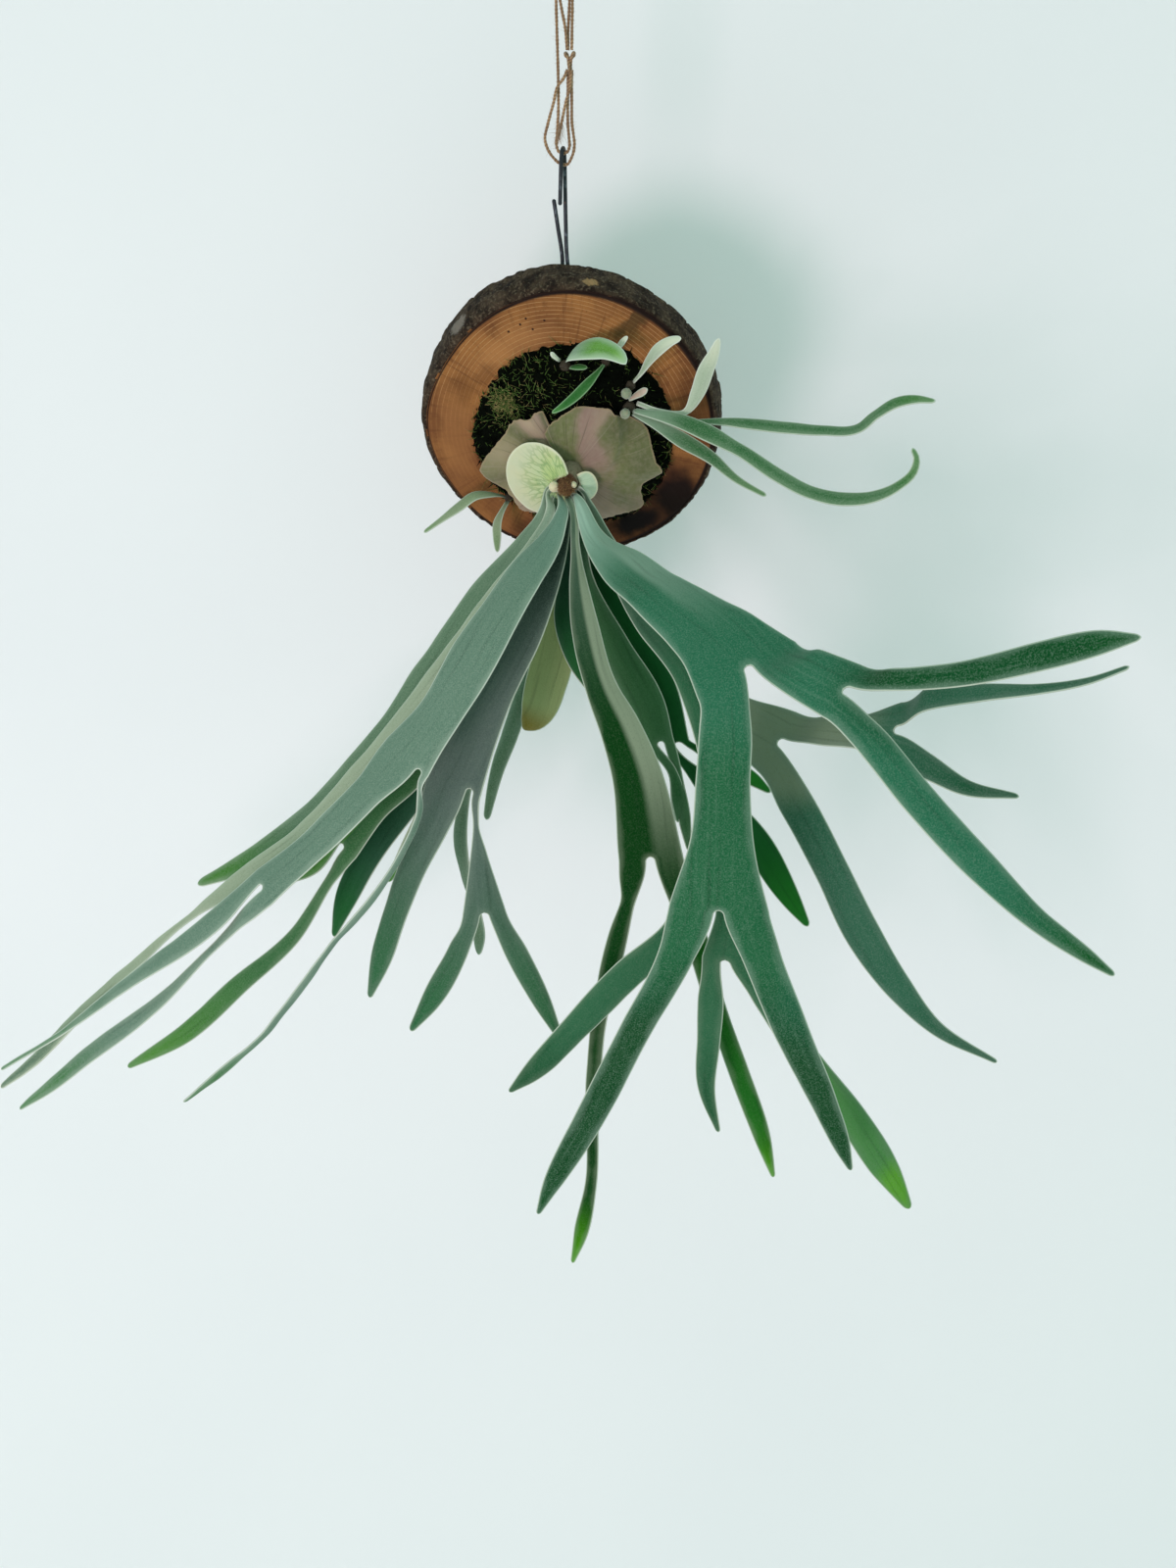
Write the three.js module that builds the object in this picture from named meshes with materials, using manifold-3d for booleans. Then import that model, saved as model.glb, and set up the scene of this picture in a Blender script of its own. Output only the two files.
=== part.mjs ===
// A staghorn fern grown on a slice of log, which hangs from a wire hook and a loop of jute twine.
// Millimetres, Z up, the fern's front towards -Y. The origin is inside the top of the twine loop,
// where a nail or hook carries everything.

import * as THREE from 'three';
import { mergeVertices } from 'three/addons/utils/BufferGeometryUtils.js';
import Module from 'manifold-3d';

const wasm = await Module();
wasm.setup();

// Driving sizes

const LEAN = 18;                    // degrees that the slice's top leans forward, pulled by the fronds
const DROP = 262;                   // loop top down to the middle of the slice's face
const TWINE_TO_SLICE = 3.5;         // the slice's middle hangs this far right of the loop's middle
const GAP = 0.3;                    // clearance between pieces that touch

const SLICE_THICKNESS = 30;
const SLICE_MIDDLE = [-1, -12];     // right and up on the face
const SLICE_RADII = [98, 99, 99, 97, 94, 95, 102, 101, 100, 98, 96, 97];   // each 30 degrees from the right
const BACK_FLARE = [1, 0, 0, 4, 8, 8, 4, 2, 0, 0, 0, 0];                   // how much wider its back is there
const BARK_RIDGE = 0.9;

const MOSS_MIDDLE = [0, -16];
const MOSS_RADII = [68, 70, 71, 64, 64, 64, 69, 70, 69, 65, 70, 68];
const MOSS_HEIGHT = 14;

const CROWN = [1, 42, -33];         // right, off the face, up on the face: the middle of the growing bud
const RHIZOME_RADIUS = 6.8;
const RHIZOME_FOOT = 6;
const BUD_TIP = 47;
const FOOT_RADIUS = 7.9;            // the fronds' feet stand round the rhizome at this distance from its axis
const FOOT_WIDTH = 3.4;
const FOOT_TWIST = 36;              // a frond turns from clasping the rhizome to its facing over this length

const FROND_THICKNESS = 1.4;
const LEAF_THICKNESS = 1.0;
const SHIELD_THICKNESS = 0.9;
const ROW_STEP = 19;                // length of a blade between two rows of points
const CUP = 0.07;                   // how far a blade's midrib stands out, as a share of its width
const WAVE = 0.035;                 // rise and fall of a blade's edges, as a share of its width
const WAVE_LENGTH = 90;
const SINUS_RADIUS = 2.4;           // round notch where a blade forks
const BLEND_LENGTH = 34;            // a lobe turns from its parent's facing to its own over this length

const WIRE = 2.6;
const TWINE = 2;
const SCREW = { shank: 4, head: 9, headHeight: 2.6, inWood: 18, out: 4.4, up: 58, right: -4.6 };

// Colours

const COLOURS = {
  wood: [0x9a6440, 0.85], moss: [0x1f2a18, 1.0], rhizome: [0x6b4423, 0.95], oldShield: [0x857f5e, 0.9],
  youngShield: [0xbcd6a8, 0.7], frond: [0x3b7a55, 0.75], frondGrey: [0x5c7263, 0.8],
  frondDark: [0x24573b, 0.8], frondPale: [0x7c9f7c, 0.8], frondOld: [0x7d7f3f, 0.85], leaf: [0x5f8f60, 0.75],
  leafPale: [0xc2cfb0, 0.8], wire: [0x2c3238, 0.5], steel: [0x8d9094, 0.35], twine: [0x9c7b56, 1.0],
};

function material(name, metalness = 0) {
  const [color, roughness] = COLOURS[name];
  return new THREE.MeshStandardMaterial({ color, roughness, metalness });
}

function piece(parent, name, geometry, finish, metalness = 0) {
  const mesh = new THREE.Mesh(geometry, material(finish, metalness));
  mesh.name = name;
  parent.add(mesh);
  return mesh;
}

// Groups: all of it hangs from the origin, the slice and what grows on it lean, the fronds start at the crown

const degrees = THREE.MathUtils.degToRad;
const fern = new THREE.Group();
const hung = new THREE.Group();
hung.position.set(TWINE_TO_SLICE, 0, -DROP);
fern.add(hung);

const slice = new THREE.Group();
slice.rotation.x = degrees(LEAN);
hung.add(slice);

// A point on the leaning slice: right, off the face, up on the face.
const onSlice = (right, off, up) => new THREE.Vector3(right, -off, up);

const crown = new THREE.Group();
crown.position.copy(onSlice(...CROWN).applyEuler(slice.rotation));
hung.add(crown);

// A point among the fronds: right, front and up from the crown, plumb.
const fromCrown = ([right, front, up]) => new THREE.Vector3(right, -front, up);

// A frond's foot as stations: its angle round the rhizome from straight below and its depth behind the bud,
// then an elbow at a wider radius for those that have to pass outside the ones nearer the bud.
function foot(angle, depth, elbow = 0, width = FOOT_WIDTH) {
  const a = degrees(angle);
  const at = (radius, behind) => {
    const point = onSlice(radius * Math.sin(a), -behind, -radius * Math.cos(a)).applyEuler(slice.rotation);
    return [point.x, -point.y, point.z, width];
  };
  return elbow ? [at(FOOT_RADIUS, depth), at(elbow, depth - 3)] : [at(FOOT_RADIUS, depth)];
}

// Closed solids

function geometryOf(points, triangles) {
  const geometry = new THREE.BufferGeometry();
  const numbers = points.flatMap((p) => p.toArray());
  geometry.setAttribute('position', new THREE.Float32BufferAttribute(numbers, 3));
  geometry.setIndex(triangles.flat());
  return geometry;
}

function manifoldOf(geometry) {
  const bare = geometry.clone();
  bare.deleteAttribute('normal');
  bare.deleteAttribute('uv');
  const merged = mergeVertices(bare, 1e-4);
  return new wasm.Manifold(new wasm.Mesh({
    numProp: 3,
    vertProperties: new Float32Array(merged.attributes.position.array),
    triVerts: new Uint32Array(merged.index.array),
  }));
}

function geometryFromManifold(solid) {
  const mesh = solid.getMesh();
  const geometry = new THREE.BufferGeometry();
  geometry.setAttribute('position', new THREE.Float32BufferAttribute(mesh.vertProperties, 3));
  geometry.setIndex([...mesh.triVerts]);
  return geometry;
}

// A sheet gets its thickness half to each side: the same triangles on both faces and a wall round its edge.
function thicken(points, triangles, thickness) {
  const normals = points.map(() => new THREE.Vector3());
  for (const [a, b, c] of triangles) {
    const edge = points[b].clone().sub(points[a]);
    const normal = edge.cross(points[c].clone().sub(points[a]));
    for (const corner of [a, b, c]) normals[corner].add(normal);
  }
  const count = points.length;
  for (const normal of normals) normal.setLength(thickness / 2);
  const offset = (side) => points.map((p, i) => p.clone().addScaledVector(normals[i], side));
  const solid = [...triangles, ...triangles.map(([a, b, c]) => [c + count, b + count, a + count])];
  const edges = new Set(triangles.flatMap(([a, b, c]) => [`${a},${b}`, `${b},${c}`, `${c},${a}`]));
  for (const edge of edges) {
    const [a, b] = edge.split(',').map(Number);
    if (!edges.has(`${b},${a}`)) solid.push([b, a, a + count], [b, a + count, b + count]);
  }
  return geometryOf([...offset(1), ...offset(-1)], solid);
}

// Value at any angle of a closed outline that is given by radii at even steps, smooth through each.
function roundOutline(radii) {
  const count = radii.length;
  return (angle) => {
    const place = THREE.MathUtils.euclideanModulo(angle / (2 * Math.PI), 1) * count;
    const i = Math.floor(place);
    const at = (k) => radii[(k + count) % count];
    const [before, here, next, after] = [at(i - 1), at(i), at(i + 1), at(i + 2)];
    return hermite(here, next, (next - before) / 2, (after - here) / 2, place - i);
  };
}

function hermite(from, to, slopeFrom, slopeTo, t) {
  const t2 = t * t;
  const t3 = t2 * t;
  return (2 * t3 - 3 * t2 + 1) * from + (t3 - 2 * t2 + t) * slopeFrom
    + (3 * t2 - 2 * t3) * to + (t3 - t2) * slopeTo;
}

// A stack of rings between two middle points, each ring given by place(angle), is closed all round.
function stackOfRings(first, rings, last, sides) {
  const points = [first];
  const triangles = [];
  for (const ring of rings) {
    for (let i = 0; i < sides; i += 1) points.push(ring((2 * Math.PI * i) / sides));
  }
  points.push(last);
  const at = (ring, i) => 1 + ring * sides + (i % sides);
  for (let i = 0; i < sides; i += 1) {
    triangles.push([0, at(0, i), at(0, i + 1)]);
    for (let ring = 0; ring + 1 < rings.length; ring += 1) {
      triangles.push([at(ring, i), at(ring + 1, i), at(ring + 1, i + 1)]);
      triangles.push([at(ring, i), at(ring + 1, i + 1), at(ring, i + 1)]);
    }
    triangles.push([at(rings.length - 1, i), points.length - 1, at(rings.length - 1, i + 1)]);
  }
  return geometryOf(points, triangles);
}

// The slice of log: two flat sawn faces, and bark in ridges round its side

function sliceSolid() {
  const sides = 52;
  const radius = roundOutline(SLICE_RADII);
  const flare = roundOutline(BACK_FLARE);
  const [middleRight, middleUp] = SLICE_MIDDLE;
  const ridges = (angle, depth) => BARK_RIDGE
    * (Math.sin(13 * angle + depth / 6) + Math.sin(29 * angle - depth / 9));
  const ring = (depth, inset, rough) => (angle) => {
    const widened = radius(angle) + flare(angle) * Math.sqrt(depth / SLICE_THICKNESS);
    const r = widened - inset + rough * ridges(angle, depth);
    return onSlice(middleRight + r * Math.cos(angle), -depth, middleUp + r * Math.sin(angle));
  };
  const rings = [
    ring(0, 2.2, 0.4), ring(2, 0.4, 1), ring(11, -0.6, 1), ring(20, 0, 1), ring(28, 0.2, 1),
    ring(SLICE_THICKNESS, 1.6, 0.4),
  ];
  return stackOfRings(onSlice(middleRight, 0, middleUp), rings,
    onSlice(middleRight, -SLICE_THICKNESS, middleUp), sides);
}

// The screw in the slice's back that the wire loops round: pointed shank and flat head in one turned solid

function turnedOnSlice(profile, right, up, segments) {
  const geometry = new THREE.LatheGeometry(profile.map(([r, off]) => new THREE.Vector2(r, off)), segments);
  geometry.applyMatrix4(new THREE.Matrix4().makeRotationX(Math.PI));   // its axis runs off the face now
  geometry.translate(right, 0, up);
  return geometry;
}

const backOff = -SLICE_THICKNESS;
const screwProfile = [
  [0, backOff - SCREW.out - SCREW.headHeight],
  [SCREW.head * 0.36, backOff - SCREW.out - SCREW.headHeight],
  [SCREW.head / 2, backOff - SCREW.out - SCREW.headHeight * 0.6],
  [SCREW.head / 2, backOff - SCREW.out],
  [SCREW.shank / 2, backOff - SCREW.out],
  [SCREW.shank / 2, backOff + SCREW.inWood - 5],
  [0, backOff + SCREW.inWood],
];
const pilotProfile = [
  [0, backOff - 5],
  [SCREW.shank / 2 + GAP, backOff - 5],
  [SCREW.shank / 2 + GAP, backOff + SCREW.inWood - 5],
  [0, backOff + SCREW.inWood + 1],
];

const pilotHole = manifoldOf(turnedOnSlice(pilotProfile, SCREW.right, SCREW.up, 16));
piece(slice, 'log_slice', geometryFromManifold(manifoldOf(sliceSolid()).subtract(pilotHole)), 'wood');
piece(slice, 'hanger_screw', turnedOnSlice(screwProfile, SCREW.right, SCREW.up, 16), 'steel', 1);

// Buds of the plantlets, as [name, right, front, up from the crown, radius]

const BUDS = [
  ['pup_top_bud', -1, -6, 77, 3.4],
  ['pup_top_bud_small', 25, -8.2, 79.7, 2.6],
  ['pup_side_bud', 40, -13, 51, 3.8],
  ['pup_side_bud_upper', 41, -11, 65, 3],
  ['pup_left_bud', -47, -41, -16.6, 3],
];

function budSolid([, right, front, up, radius], grow = 0) {
  const ball = new THREE.SphereGeometry(radius + grow, 12, 8);
  ball.translate(...fromCrown([right, front, up]));
  return ball;
}

// The rhizome: a thick brown stem through the moss, ending in the growing bud

function rhizomeSolid(grow = 0) {
  const r = RHIZOME_RADIUS + grow;
  const profile = [
    [0, RHIZOME_FOOT - grow], [r * 0.8, RHIZOME_FOOT - grow], [r, RHIZOME_FOOT + 4], [r, 36],
    [r * 0.92, 41], [r * 0.62, 45], [0, BUD_TIP + grow],
  ];
  return turnedOnSlice(profile, CROWN[0], CROWN[2], 18);
}

// The moss: a lumpy mound on the face, hollowed where the rhizome and the plantlets' buds sit in it

function mossSolid() {
  const sides = 30;
  const radius = roundOutline(MOSS_RADII);
  const [middleRight, middleUp] = MOSS_MIDDLE;
  const lumps = (right, up) => Math.sin(right / 7 + 1) * Math.cos(up / 8) + 0.6 * Math.sin((right + up) / 5);
  const ring = (share, foot) => (angle) => {
    const r = share * radius(angle);
    const right = middleRight + r * Math.cos(angle);
    const up = middleUp + r * Math.sin(angle);
    const dome = MOSS_HEIGHT * Math.sqrt(1 - share ** 2.6) + 1.1 * lumps(right, up) * (1 - share ** 4);
    return onSlice(right, foot ? GAP : Math.max(2, dome), up);
  };
  const shares = [0.25, 0.48, 0.68, 0.84, 0.95, 1];
  const rings = [...shares.map((share) => ring(share, false)), ring(0.98, true)];
  return stackOfRings(onSlice(middleRight, MOSS_HEIGHT, middleUp), rings,
    onSlice(middleRight, GAP, middleUp), sides);
}

const crownOnSlice = onSlice(...CROWN);
const toSlice = new THREE.Matrix4().makeRotationX(-degrees(LEAN)).setPosition(crownOnSlice);
let moss = manifoldOf(mossSolid()).subtract(manifoldOf(rhizomeSolid(GAP)));
for (const bud of BUDS) moss = moss.subtract(manifoldOf(budSolid(bud, GAP).applyMatrix4(toSlice)));
piece(slice, 'moss_pad', geometryFromManifold(moss), 'moss');
piece(slice, 'rhizome', rhizomeSolid(), 'rhizome');
for (const bud of BUDS) piece(crown, bud[0], budSolid(bud), 'rhizome');

// Shield fronds: domed sheets that clasp the moss, from the rhizome out to a lobed edge

// A fan of the old shield: outline as [angle in degrees, radius], counter-clockwise, height off the face
// from inner to edge with a swell between, and folds that grow towards the edge.
function shieldFan(outline, inner, edge, swell, folds, foldAngle) {
  const points = [];
  const triangles = [];
  const rings = [0, 0.2, 0.45, 0.7, 0.88, 1];
  for (const [angle, radius] of outline) {
    for (const share of rings) {
      const r = SHIELD_INNER + share * (radius - SHIELD_INNER);
      const fold = folds * share ** 1.5 * Math.sin(degrees(angle * foldAngle));
      const off = inner + (edge - inner) * share ** 2 + swell * Math.sin(Math.PI * share) + fold;
      const a = degrees(angle);
      points.push(onSlice(CROWN[0] + r * Math.cos(a), off, CROWN[2] + r * Math.sin(a)));
    }
  }
  const at = (row, column) => row * rings.length + column;
  for (let row = 0; row + 1 < outline.length; row += 1) {
    for (let column = 0; column + 1 < rings.length; column += 1) {
      triangles.push([at(row, column), at(row, column + 1), at(row + 1, column + 1)]);
      triangles.push([at(row, column), at(row + 1, column + 1), at(row + 1, column)]);
    }
  }
  return thicken(points, triangles, SHIELD_THICKNESS);
}

const SHIELD_INNER = RHIZOME_RADIUS + 0.6;
const OLD_SHIELD_RIGHT = [
  [-88, 42], [-74, 42], [-59, 43], [-46, 45], [-36, 50], [-28, 54], [-20, 49], [-12, 49], [-6, 54], [0, 61],
  [8, 58], [20, 58], [31, 60], [42, 57], [49, 52], [56, 53], [66, 50], [76, 47], [86, 43], [98, 38],
  [110, 35], [123, 31],
];
const OLD_SHIELD_LEFT = [
  [113, 44], [120, 45], [127, 44], [136, 49], [144, 50], [154, 50], [163, 53], [171, 57], [178, 61],
  [184, 64], [191, 60], [199, 52], [209, 49], [220, 50], [231, 46], [242, 43], [256, 42],
];
piece(slice, 'old_shield_right', shieldFan(OLD_SHIELD_RIGHT, 20.5, 17.5, 2.6, 1.2, 7), 'oldShield');
piece(slice, 'old_shield_left', shieldFan(OLD_SHIELD_LEFT, 17, 15.2, 0.6, 0.6, 9), 'oldShield');

// A young shield: a domed disc beside the bud, its rim notched where it meets the rhizome. Given are its
// middle from the rhizome, radii across and up, height off the face, dome, rise towards the right, and the
// notch's middle and radius.
function shieldDisc(right, up, across, along, off, dome, rise, notchUp, notch) {
  const sides = 32;
  const points = [];
  const triangles = [];
  const shares = [0.5, 0.85, 1];
  const [awayX, awayY] = [-right, notchUp - up];
  const reach = Math.hypot(awayX, awayY);
  const rim = (angle) => {
    const whole = 1 / Math.hypot(Math.cos(angle) / across, Math.sin(angle) / along);
    const toward = Math.cos(angle) * awayX + Math.sin(angle) * awayY;
    const left = notch ** 2 - reach ** 2 + toward ** 2;
    return left > 0 && toward > 0 ? Math.min(whole, toward - Math.sqrt(left)) : whole;
  };
  const put = (x, y, share) => points.push(onSlice(CROWN[0] + right + x,
    off + rise * x + dome * (1 - share ** 2), CROWN[2] + up + y));
  put(0, 0, 0);
  for (const share of shares) {
    for (let i = 0; i < sides; i += 1) {
      const angle = (2 * Math.PI * i) / sides;
      put(share * rim(angle) * Math.cos(angle), share * rim(angle) * Math.sin(angle), share);
    }
  }
  const at = (ring, i) => 1 + ring * sides + (i % sides);
  for (let i = 0; i < sides; i += 1) {
    triangles.push([0, at(0, i), at(0, i + 1)]);
    for (let ring = 0; ring + 1 < shares.length; ring += 1) {
      triangles.push([at(ring, i), at(ring + 1, i), at(ring + 1, i + 1)]);
      triangles.push([at(ring, i), at(ring + 1, i + 1), at(ring, i + 1)]);
    }
  }
  return thicken(points, triangles, SHIELD_THICKNESS);
}

piece(slice, 'young_shield', shieldDisc(-20, -2, 23.5, 26.5, 28, 2.2, 0.2, -5.7, 13), 'youngShield');
piece(slice, 'small_shield', shieldDisc(10.5, -5.8, 8.5, 11.5, 27, 1.5, 0, -2.5, 9.8), 'youngShield');

// Blades: stations along a blade's midrib are [right, front, up, width] from the crown, chosen by eye.
// facing is the way its upper face looks, as [right, front, up]. A blade forks into a left and a right lobe
// (as seen when it hangs), split at a share of its width, or goes on as one with another facing.

function blade(facing, stations, lobes = [], split = 0.5) {
  return { facing, stations, lobes, split };
}

const columnsOf = ({ lobes }) => lobes.reduce((sum, lobe) => sum + columnsOf(lobe), 0) || 2;

// Smooth curve through rows of numbers at growing distances, with a first slope where one is given.
function throughStations(distances, rows, firstSlope) {
  const size = rows[0].length;
  const last = rows.length - 1;
  const secant = (i, k) => (rows[i + 1][k] - rows[i][k]) / (distances[i + 1] - distances[i]);
  const slope = (i, k) => {
    if (i === 0) return firstSlope ? firstSlope[k] : secant(0, k);
    if (i === last) return secant(last - 1, k);
    const before = distances[i] - distances[i - 1];
    const after = distances[i + 1] - distances[i];
    return (secant(i - 1, k) * after + secant(i, k) * before) / (before + after);
  };
  return (s) => {
    let i = 0;
    while (i < last - 1 && s > distances[i + 1]) i += 1;
    const step = distances[i + 1] - distances[i];
    const t = (s - distances[i]) / step;
    return Array.from({ length: size }, (_, k) =>
      hermite(rows[i][k], rows[i + 1][k], slope(i, k) * step, slope(i + 1, k) * step, t));
  };
}

// Grows one blade and its lobes into a shared sheet. start holds the row of points that it grows out of.
function growBlade(sheet, shape, start) {
  const columns = columnsOf(shape);
  const facing = fromCrown(shape.facing).normalize();
  const rows = shape.stations.map(([right, front, up, width]) => [right, -front, up, width]);
  if (start) rows.unshift([...start.middle, start.width]);
  const distances = [0];
  for (let i = 1; i < rows.length; i += 1) {
    const gap = Math.hypot(...[0, 1, 2].map((k) => rows[i][k] - rows[i - 1][k]));
    distances.push(distances[i - 1] + gap);
  }
  const length = distances.at(-1);
  const curve = throughStations(distances, rows, start && firstSlope(start, rows, distances));
  const leftColumns = shape.lobes.length === 2 ? columnsOf(shape.lobes[0]) : columns / 2;
  const split = shape.lobes.length === 2 ? shape.split : 0.5;

  const across = (column, s) => {
    const even = column / columns;
    const forked = column <= leftColumns ? (split * column) / leftColumns
      : split + ((1 - split) * (column - leftColumns)) / (columns - leftColumns);
    return even + (forked - even) * (s / length);
  };
  const frameAt = (s) => {
    const ahead = new THREE.Vector3(...curve(Math.min(length, s + 0.5)));
    const tangent = ahead.sub(new THREE.Vector3(...curve(Math.max(0, s - 0.5)))).normalize();
    const normal = facing.clone();
    if (shape.clasps) normal.lerp(towardsRhizome(rows[0]), 1 - THREE.MathUtils.smoothstep(s, 0, FOOT_TWIST));
    normal.addScaledVector(tangent, -normal.dot(tangent)).normalize();
    return { tangent, normal, side: normal.clone().cross(tangent) };
  };
  const pointAt = (s, column) => {
    const [x, y, z, w] = curve(s);
    const { normal, side } = frameAt(s);
    const t = across(column, s) - 0.5;
    const rise = CUP * w * (1 - 4 * t * t) + WAVE * w * 2 * t * Math.sin((2 * Math.PI * s) / WAVE_LENGTH);
    const own = new THREE.Vector3(x, y, z).addScaledVector(side, t * w).addScaledVector(normal, rise);
    if (!start) return own;
    const carried = start.points[column].clone().add(new THREE.Vector3(x, y, z)).sub(start.centre);
    const turned = THREE.MathUtils.smoothstep(s, 0, Math.min(BLEND_LENGTH, length * 0.6));
    const point = carried.lerp(own, turned);
    const nearSinus = start.inner > 0 ? column / columns : 1 - column / columns;
    const round = Math.sqrt(1 - (1 - Math.min(s, SINUS_RADIUS) / SINUS_RADIUS) ** 2);
    return point.addScaledVector(side, -start.inner * nearSinus * SINUS_RADIUS * round * (1 - s / length));
  };

  const steps = Math.max(2, Math.ceil(length / ROW_STEP));
  const places = Array.from({ length: steps + 1 }, (_, i) => (length * i) / steps);
  if (start?.inner) places.splice(1, 0, SINUS_RADIUS);
  let previous = start?.indices;
  for (const s of start ? places.slice(1) : places) {
    const indices = Array.from({ length: columns + 1 },
      (_, column) => sheet.points.push(pointAt(s, column)) - 1);
    for (let column = 0; previous && column < columns; column += 1) {
      const [a, b, c, d] = [previous[column], indices[column], indices[column + 1], previous[column + 1]];
      sheet.triangles.push([a, b, c], [a, c, d]);
    }
    previous = indices;
  }

  const { tangent } = frameAt(length);
  const width = curve(length)[3];
  let first = 0;
  shape.lobes.forEach((lobe, i) => {
    const count = columnsOf(lobe);
    const indices = previous.slice(first, first + count + 1);
    const points = indices.map((index) => sheet.points[index].clone());
    const forks = shape.lobes.length === 2;
    const share = forks ? [split, 1 - split][i] : 1;
    const centre = points[0].clone().add(points.at(-1)).multiplyScalar(0.5);
    const inner = forks ? [1, -1][i] : 0;
    growBlade(sheet, lobe,
      { indices, points, centre, middle: centre.toArray(), width: width * share, tangent, inner });
    first += count;
  });
}

// A lobe leaves along its parent, already turned a little to its own first station.
function firstSlope(start, rows, distances) {
  const own = rows[1].map((value, k) => (value - rows[0][k]) / distances[1]);
  return own.map((value, k) => (k < 3 ? 0.5 * value + 0.5 * start.tangent.getComponent(k) : value));
}

// The way to the rhizome's axis: a frond's upper face looks this way at its base.
function towardsRhizome([x, y, z]) {
  const axis = new THREE.Vector3(0, -1, 0).applyEuler(slice.rotation);
  const out = new THREE.Vector3(x, y, z);
  return out.addScaledVector(axis, -out.dot(axis)).normalize().negate();
}

function bladeSolid(shape, thickness) {
  const sheet = { points: [], triangles: [] };
  growBlade(sheet, shape, null);
  return thicken(sheet.points, sheet.triangles, thickness);
}

// The large fertile fronds, right to left

const frontFacing = [0, 1, 0.2];

const rightArch = blade([0.1, 0.75, 0.65],
  [...foot(42, 1), [11, 12, -7, 7], [22, 36, -20, 13], [50, 90, -28, 29], [82, 146, -32, 36],
    [104, 174, -38, 41], [119, 192, -43, 50], [134, 206, -54, 64]], [
    blade([0.05, 1, 0.2], [[125, 221, -80, 31], [125, 225, -114, 31], [125, 222, -148, 36],
      [124, 218, -190, 56]], [
      blade([0.1, 1, 0.2], [[101, 214, -225, 23], [77, 206, -281, 20], [46, 196, -356, 19],
        [20, 188, -414, 11], [11, 185, -438, 3]]),
      blade(frontFacing, [[148, 216, -220, 24], [167, 210, -270, 22], [188, 200, -321, 17],
        [203, 192, -361, 10], [209, 190, -378, 3]]),
    ]),
    blade([0.1, 0.8, 0.6], [[164, 229, -46, 32], [186, 246, -50, 36]], [
      blade([0.3, 0.9, 0.3], [[197, 250, -69, 19], [226, 252, -102, 20], [264, 250, -142, 18],
        [294, 246, -171, 13], [322, 242, -192, 8], [337, 240, -203, 3]]),
      blade([0, 0.9, 0.5], [[209, 258, -39, 14], [242, 268, -31, 14], [275, 276, -18, 15],
        [302, 280, -8, 12], [319, 282, -4, 3]]),
    ]),
  ]);

const rightInner = blade([-0.1, 0.9, 0.4],
  [...foot(24, 5.9, 12.4), [12, 10, -14, 6], [29, 34, -29, 10], [67, 100, -56, 20], [102, 160, -76, 22],
    [120, 182, -112, 26], [121, 184, -160, 26], [118, 180, -193, 39]], [
    blade([0.2, 0.95, 0.2], [[99, 176, -226, 20], [66, 170, -265, 21], [35, 164, -306, 19],
      [5, 158, -346, 14], [-13, 154, -367, 3]]),
    blade(frontFacing, [[128, 176, -217, 20], [126, 172, -247, 28]], [
      blade([-0.1, 1, 0.2], [[119, 170, -275, 18], [118, 168, -306, 16], [117, 164, -345, 12],
        [125, 160, -379, 3]]),
      blade([0.2, 1, 0.1], [[148, 168, -272, 17], [177, 164, -317, 18], [208, 158, -361, 20],
        [233, 152, -403, 18], [250, 148, -433, 5]]),
    ]),
  ]);

const rightBack = blade([0.1, 0.85, 0.5],
  [...foot(66, 6, 13), [16, 1, -11, 6], [30, 22, -28, 9], [69, 65, -64, 20], [96, 92, -92, 23],
    [118, 108, -112, 28], [151, 128, -123, 44]], [
    blade([0.1, 1, 0.3], [[165, 140, -158, 23], [187, 144, -197, 22], [208, 144, -238, 23],
      [231, 140, -274, 18], [257, 136, -304, 10], [297, 130, -329, 3]]),
    blade([0.1, 0.7, 0.7], [[175, 142, -109, 22], [197, 150, -106, 23], [217, 157, -102, 40]], [
      blade([0.1, 0.8, 0.6], [[235, 164, -118, 16], [258, 164, -130, 11], [288, 162, -135, 3]]),
      blade([-0.2, 0.6, 0.8], [[233, 168, -78, 18], [260, 174, -71, 14], [290, 178, -66, 8],
        [315, 180, -59, 5], [335, 180, -50, 3]]),
    ]),
  ]);

const rightDark = blade([-0.2, 0.9, 0.4],
  [...foot(42, 9.2, 14.5), [13, -5, -16, 6], [20, 7, -44, 9], [47, 27, -86, 15], [72, 48, -118, 17],
    [83, 56, -153, 16]], [
    blade([0, 1, 0.3], [[98, 60, -174, 14], [114, 64, -190, 18], [139, 65, -219, 21], [158, 66, -250, 16], [174, 66, -275, 4]]),
    blade([0.1, 0.9, 0.5], [[99, 64, -156, 12], [117, 69, -163, 12], [133, 71, -170, 10], [145, 72, -178, 3]]),
  ]);

const centre = blade([-0.05, 0.95, 0.35],
  [...foot(2, 1), [8, 16, -13, 5], [13, 40, -30, 6], [25, 76, -72, 18], [39, 98, -105, 20],
    [53, 112, -126, 26], [64, 122, -149, 31], [75, 132, -201, 40]], [
    blade([-0.2, 1, 0.2], [[64, 136, -225, 12], [57, 138, -255, 15], [44, 138, -324, 12],
      [40, 136, -378, 11], [38, 132, -451, 9], [31, 130, -491, 11], [24, 128, -521, 3]]),
    blade([0.1, 1, 0.2], [[93, 136, -225, 17], [105, 138, -255, 16], [118, 138, -299, 14],
      [134, 136, -346, 14], [151, 132, -396, 12], [161, 128, -433, 3]]),
  ]);

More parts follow.
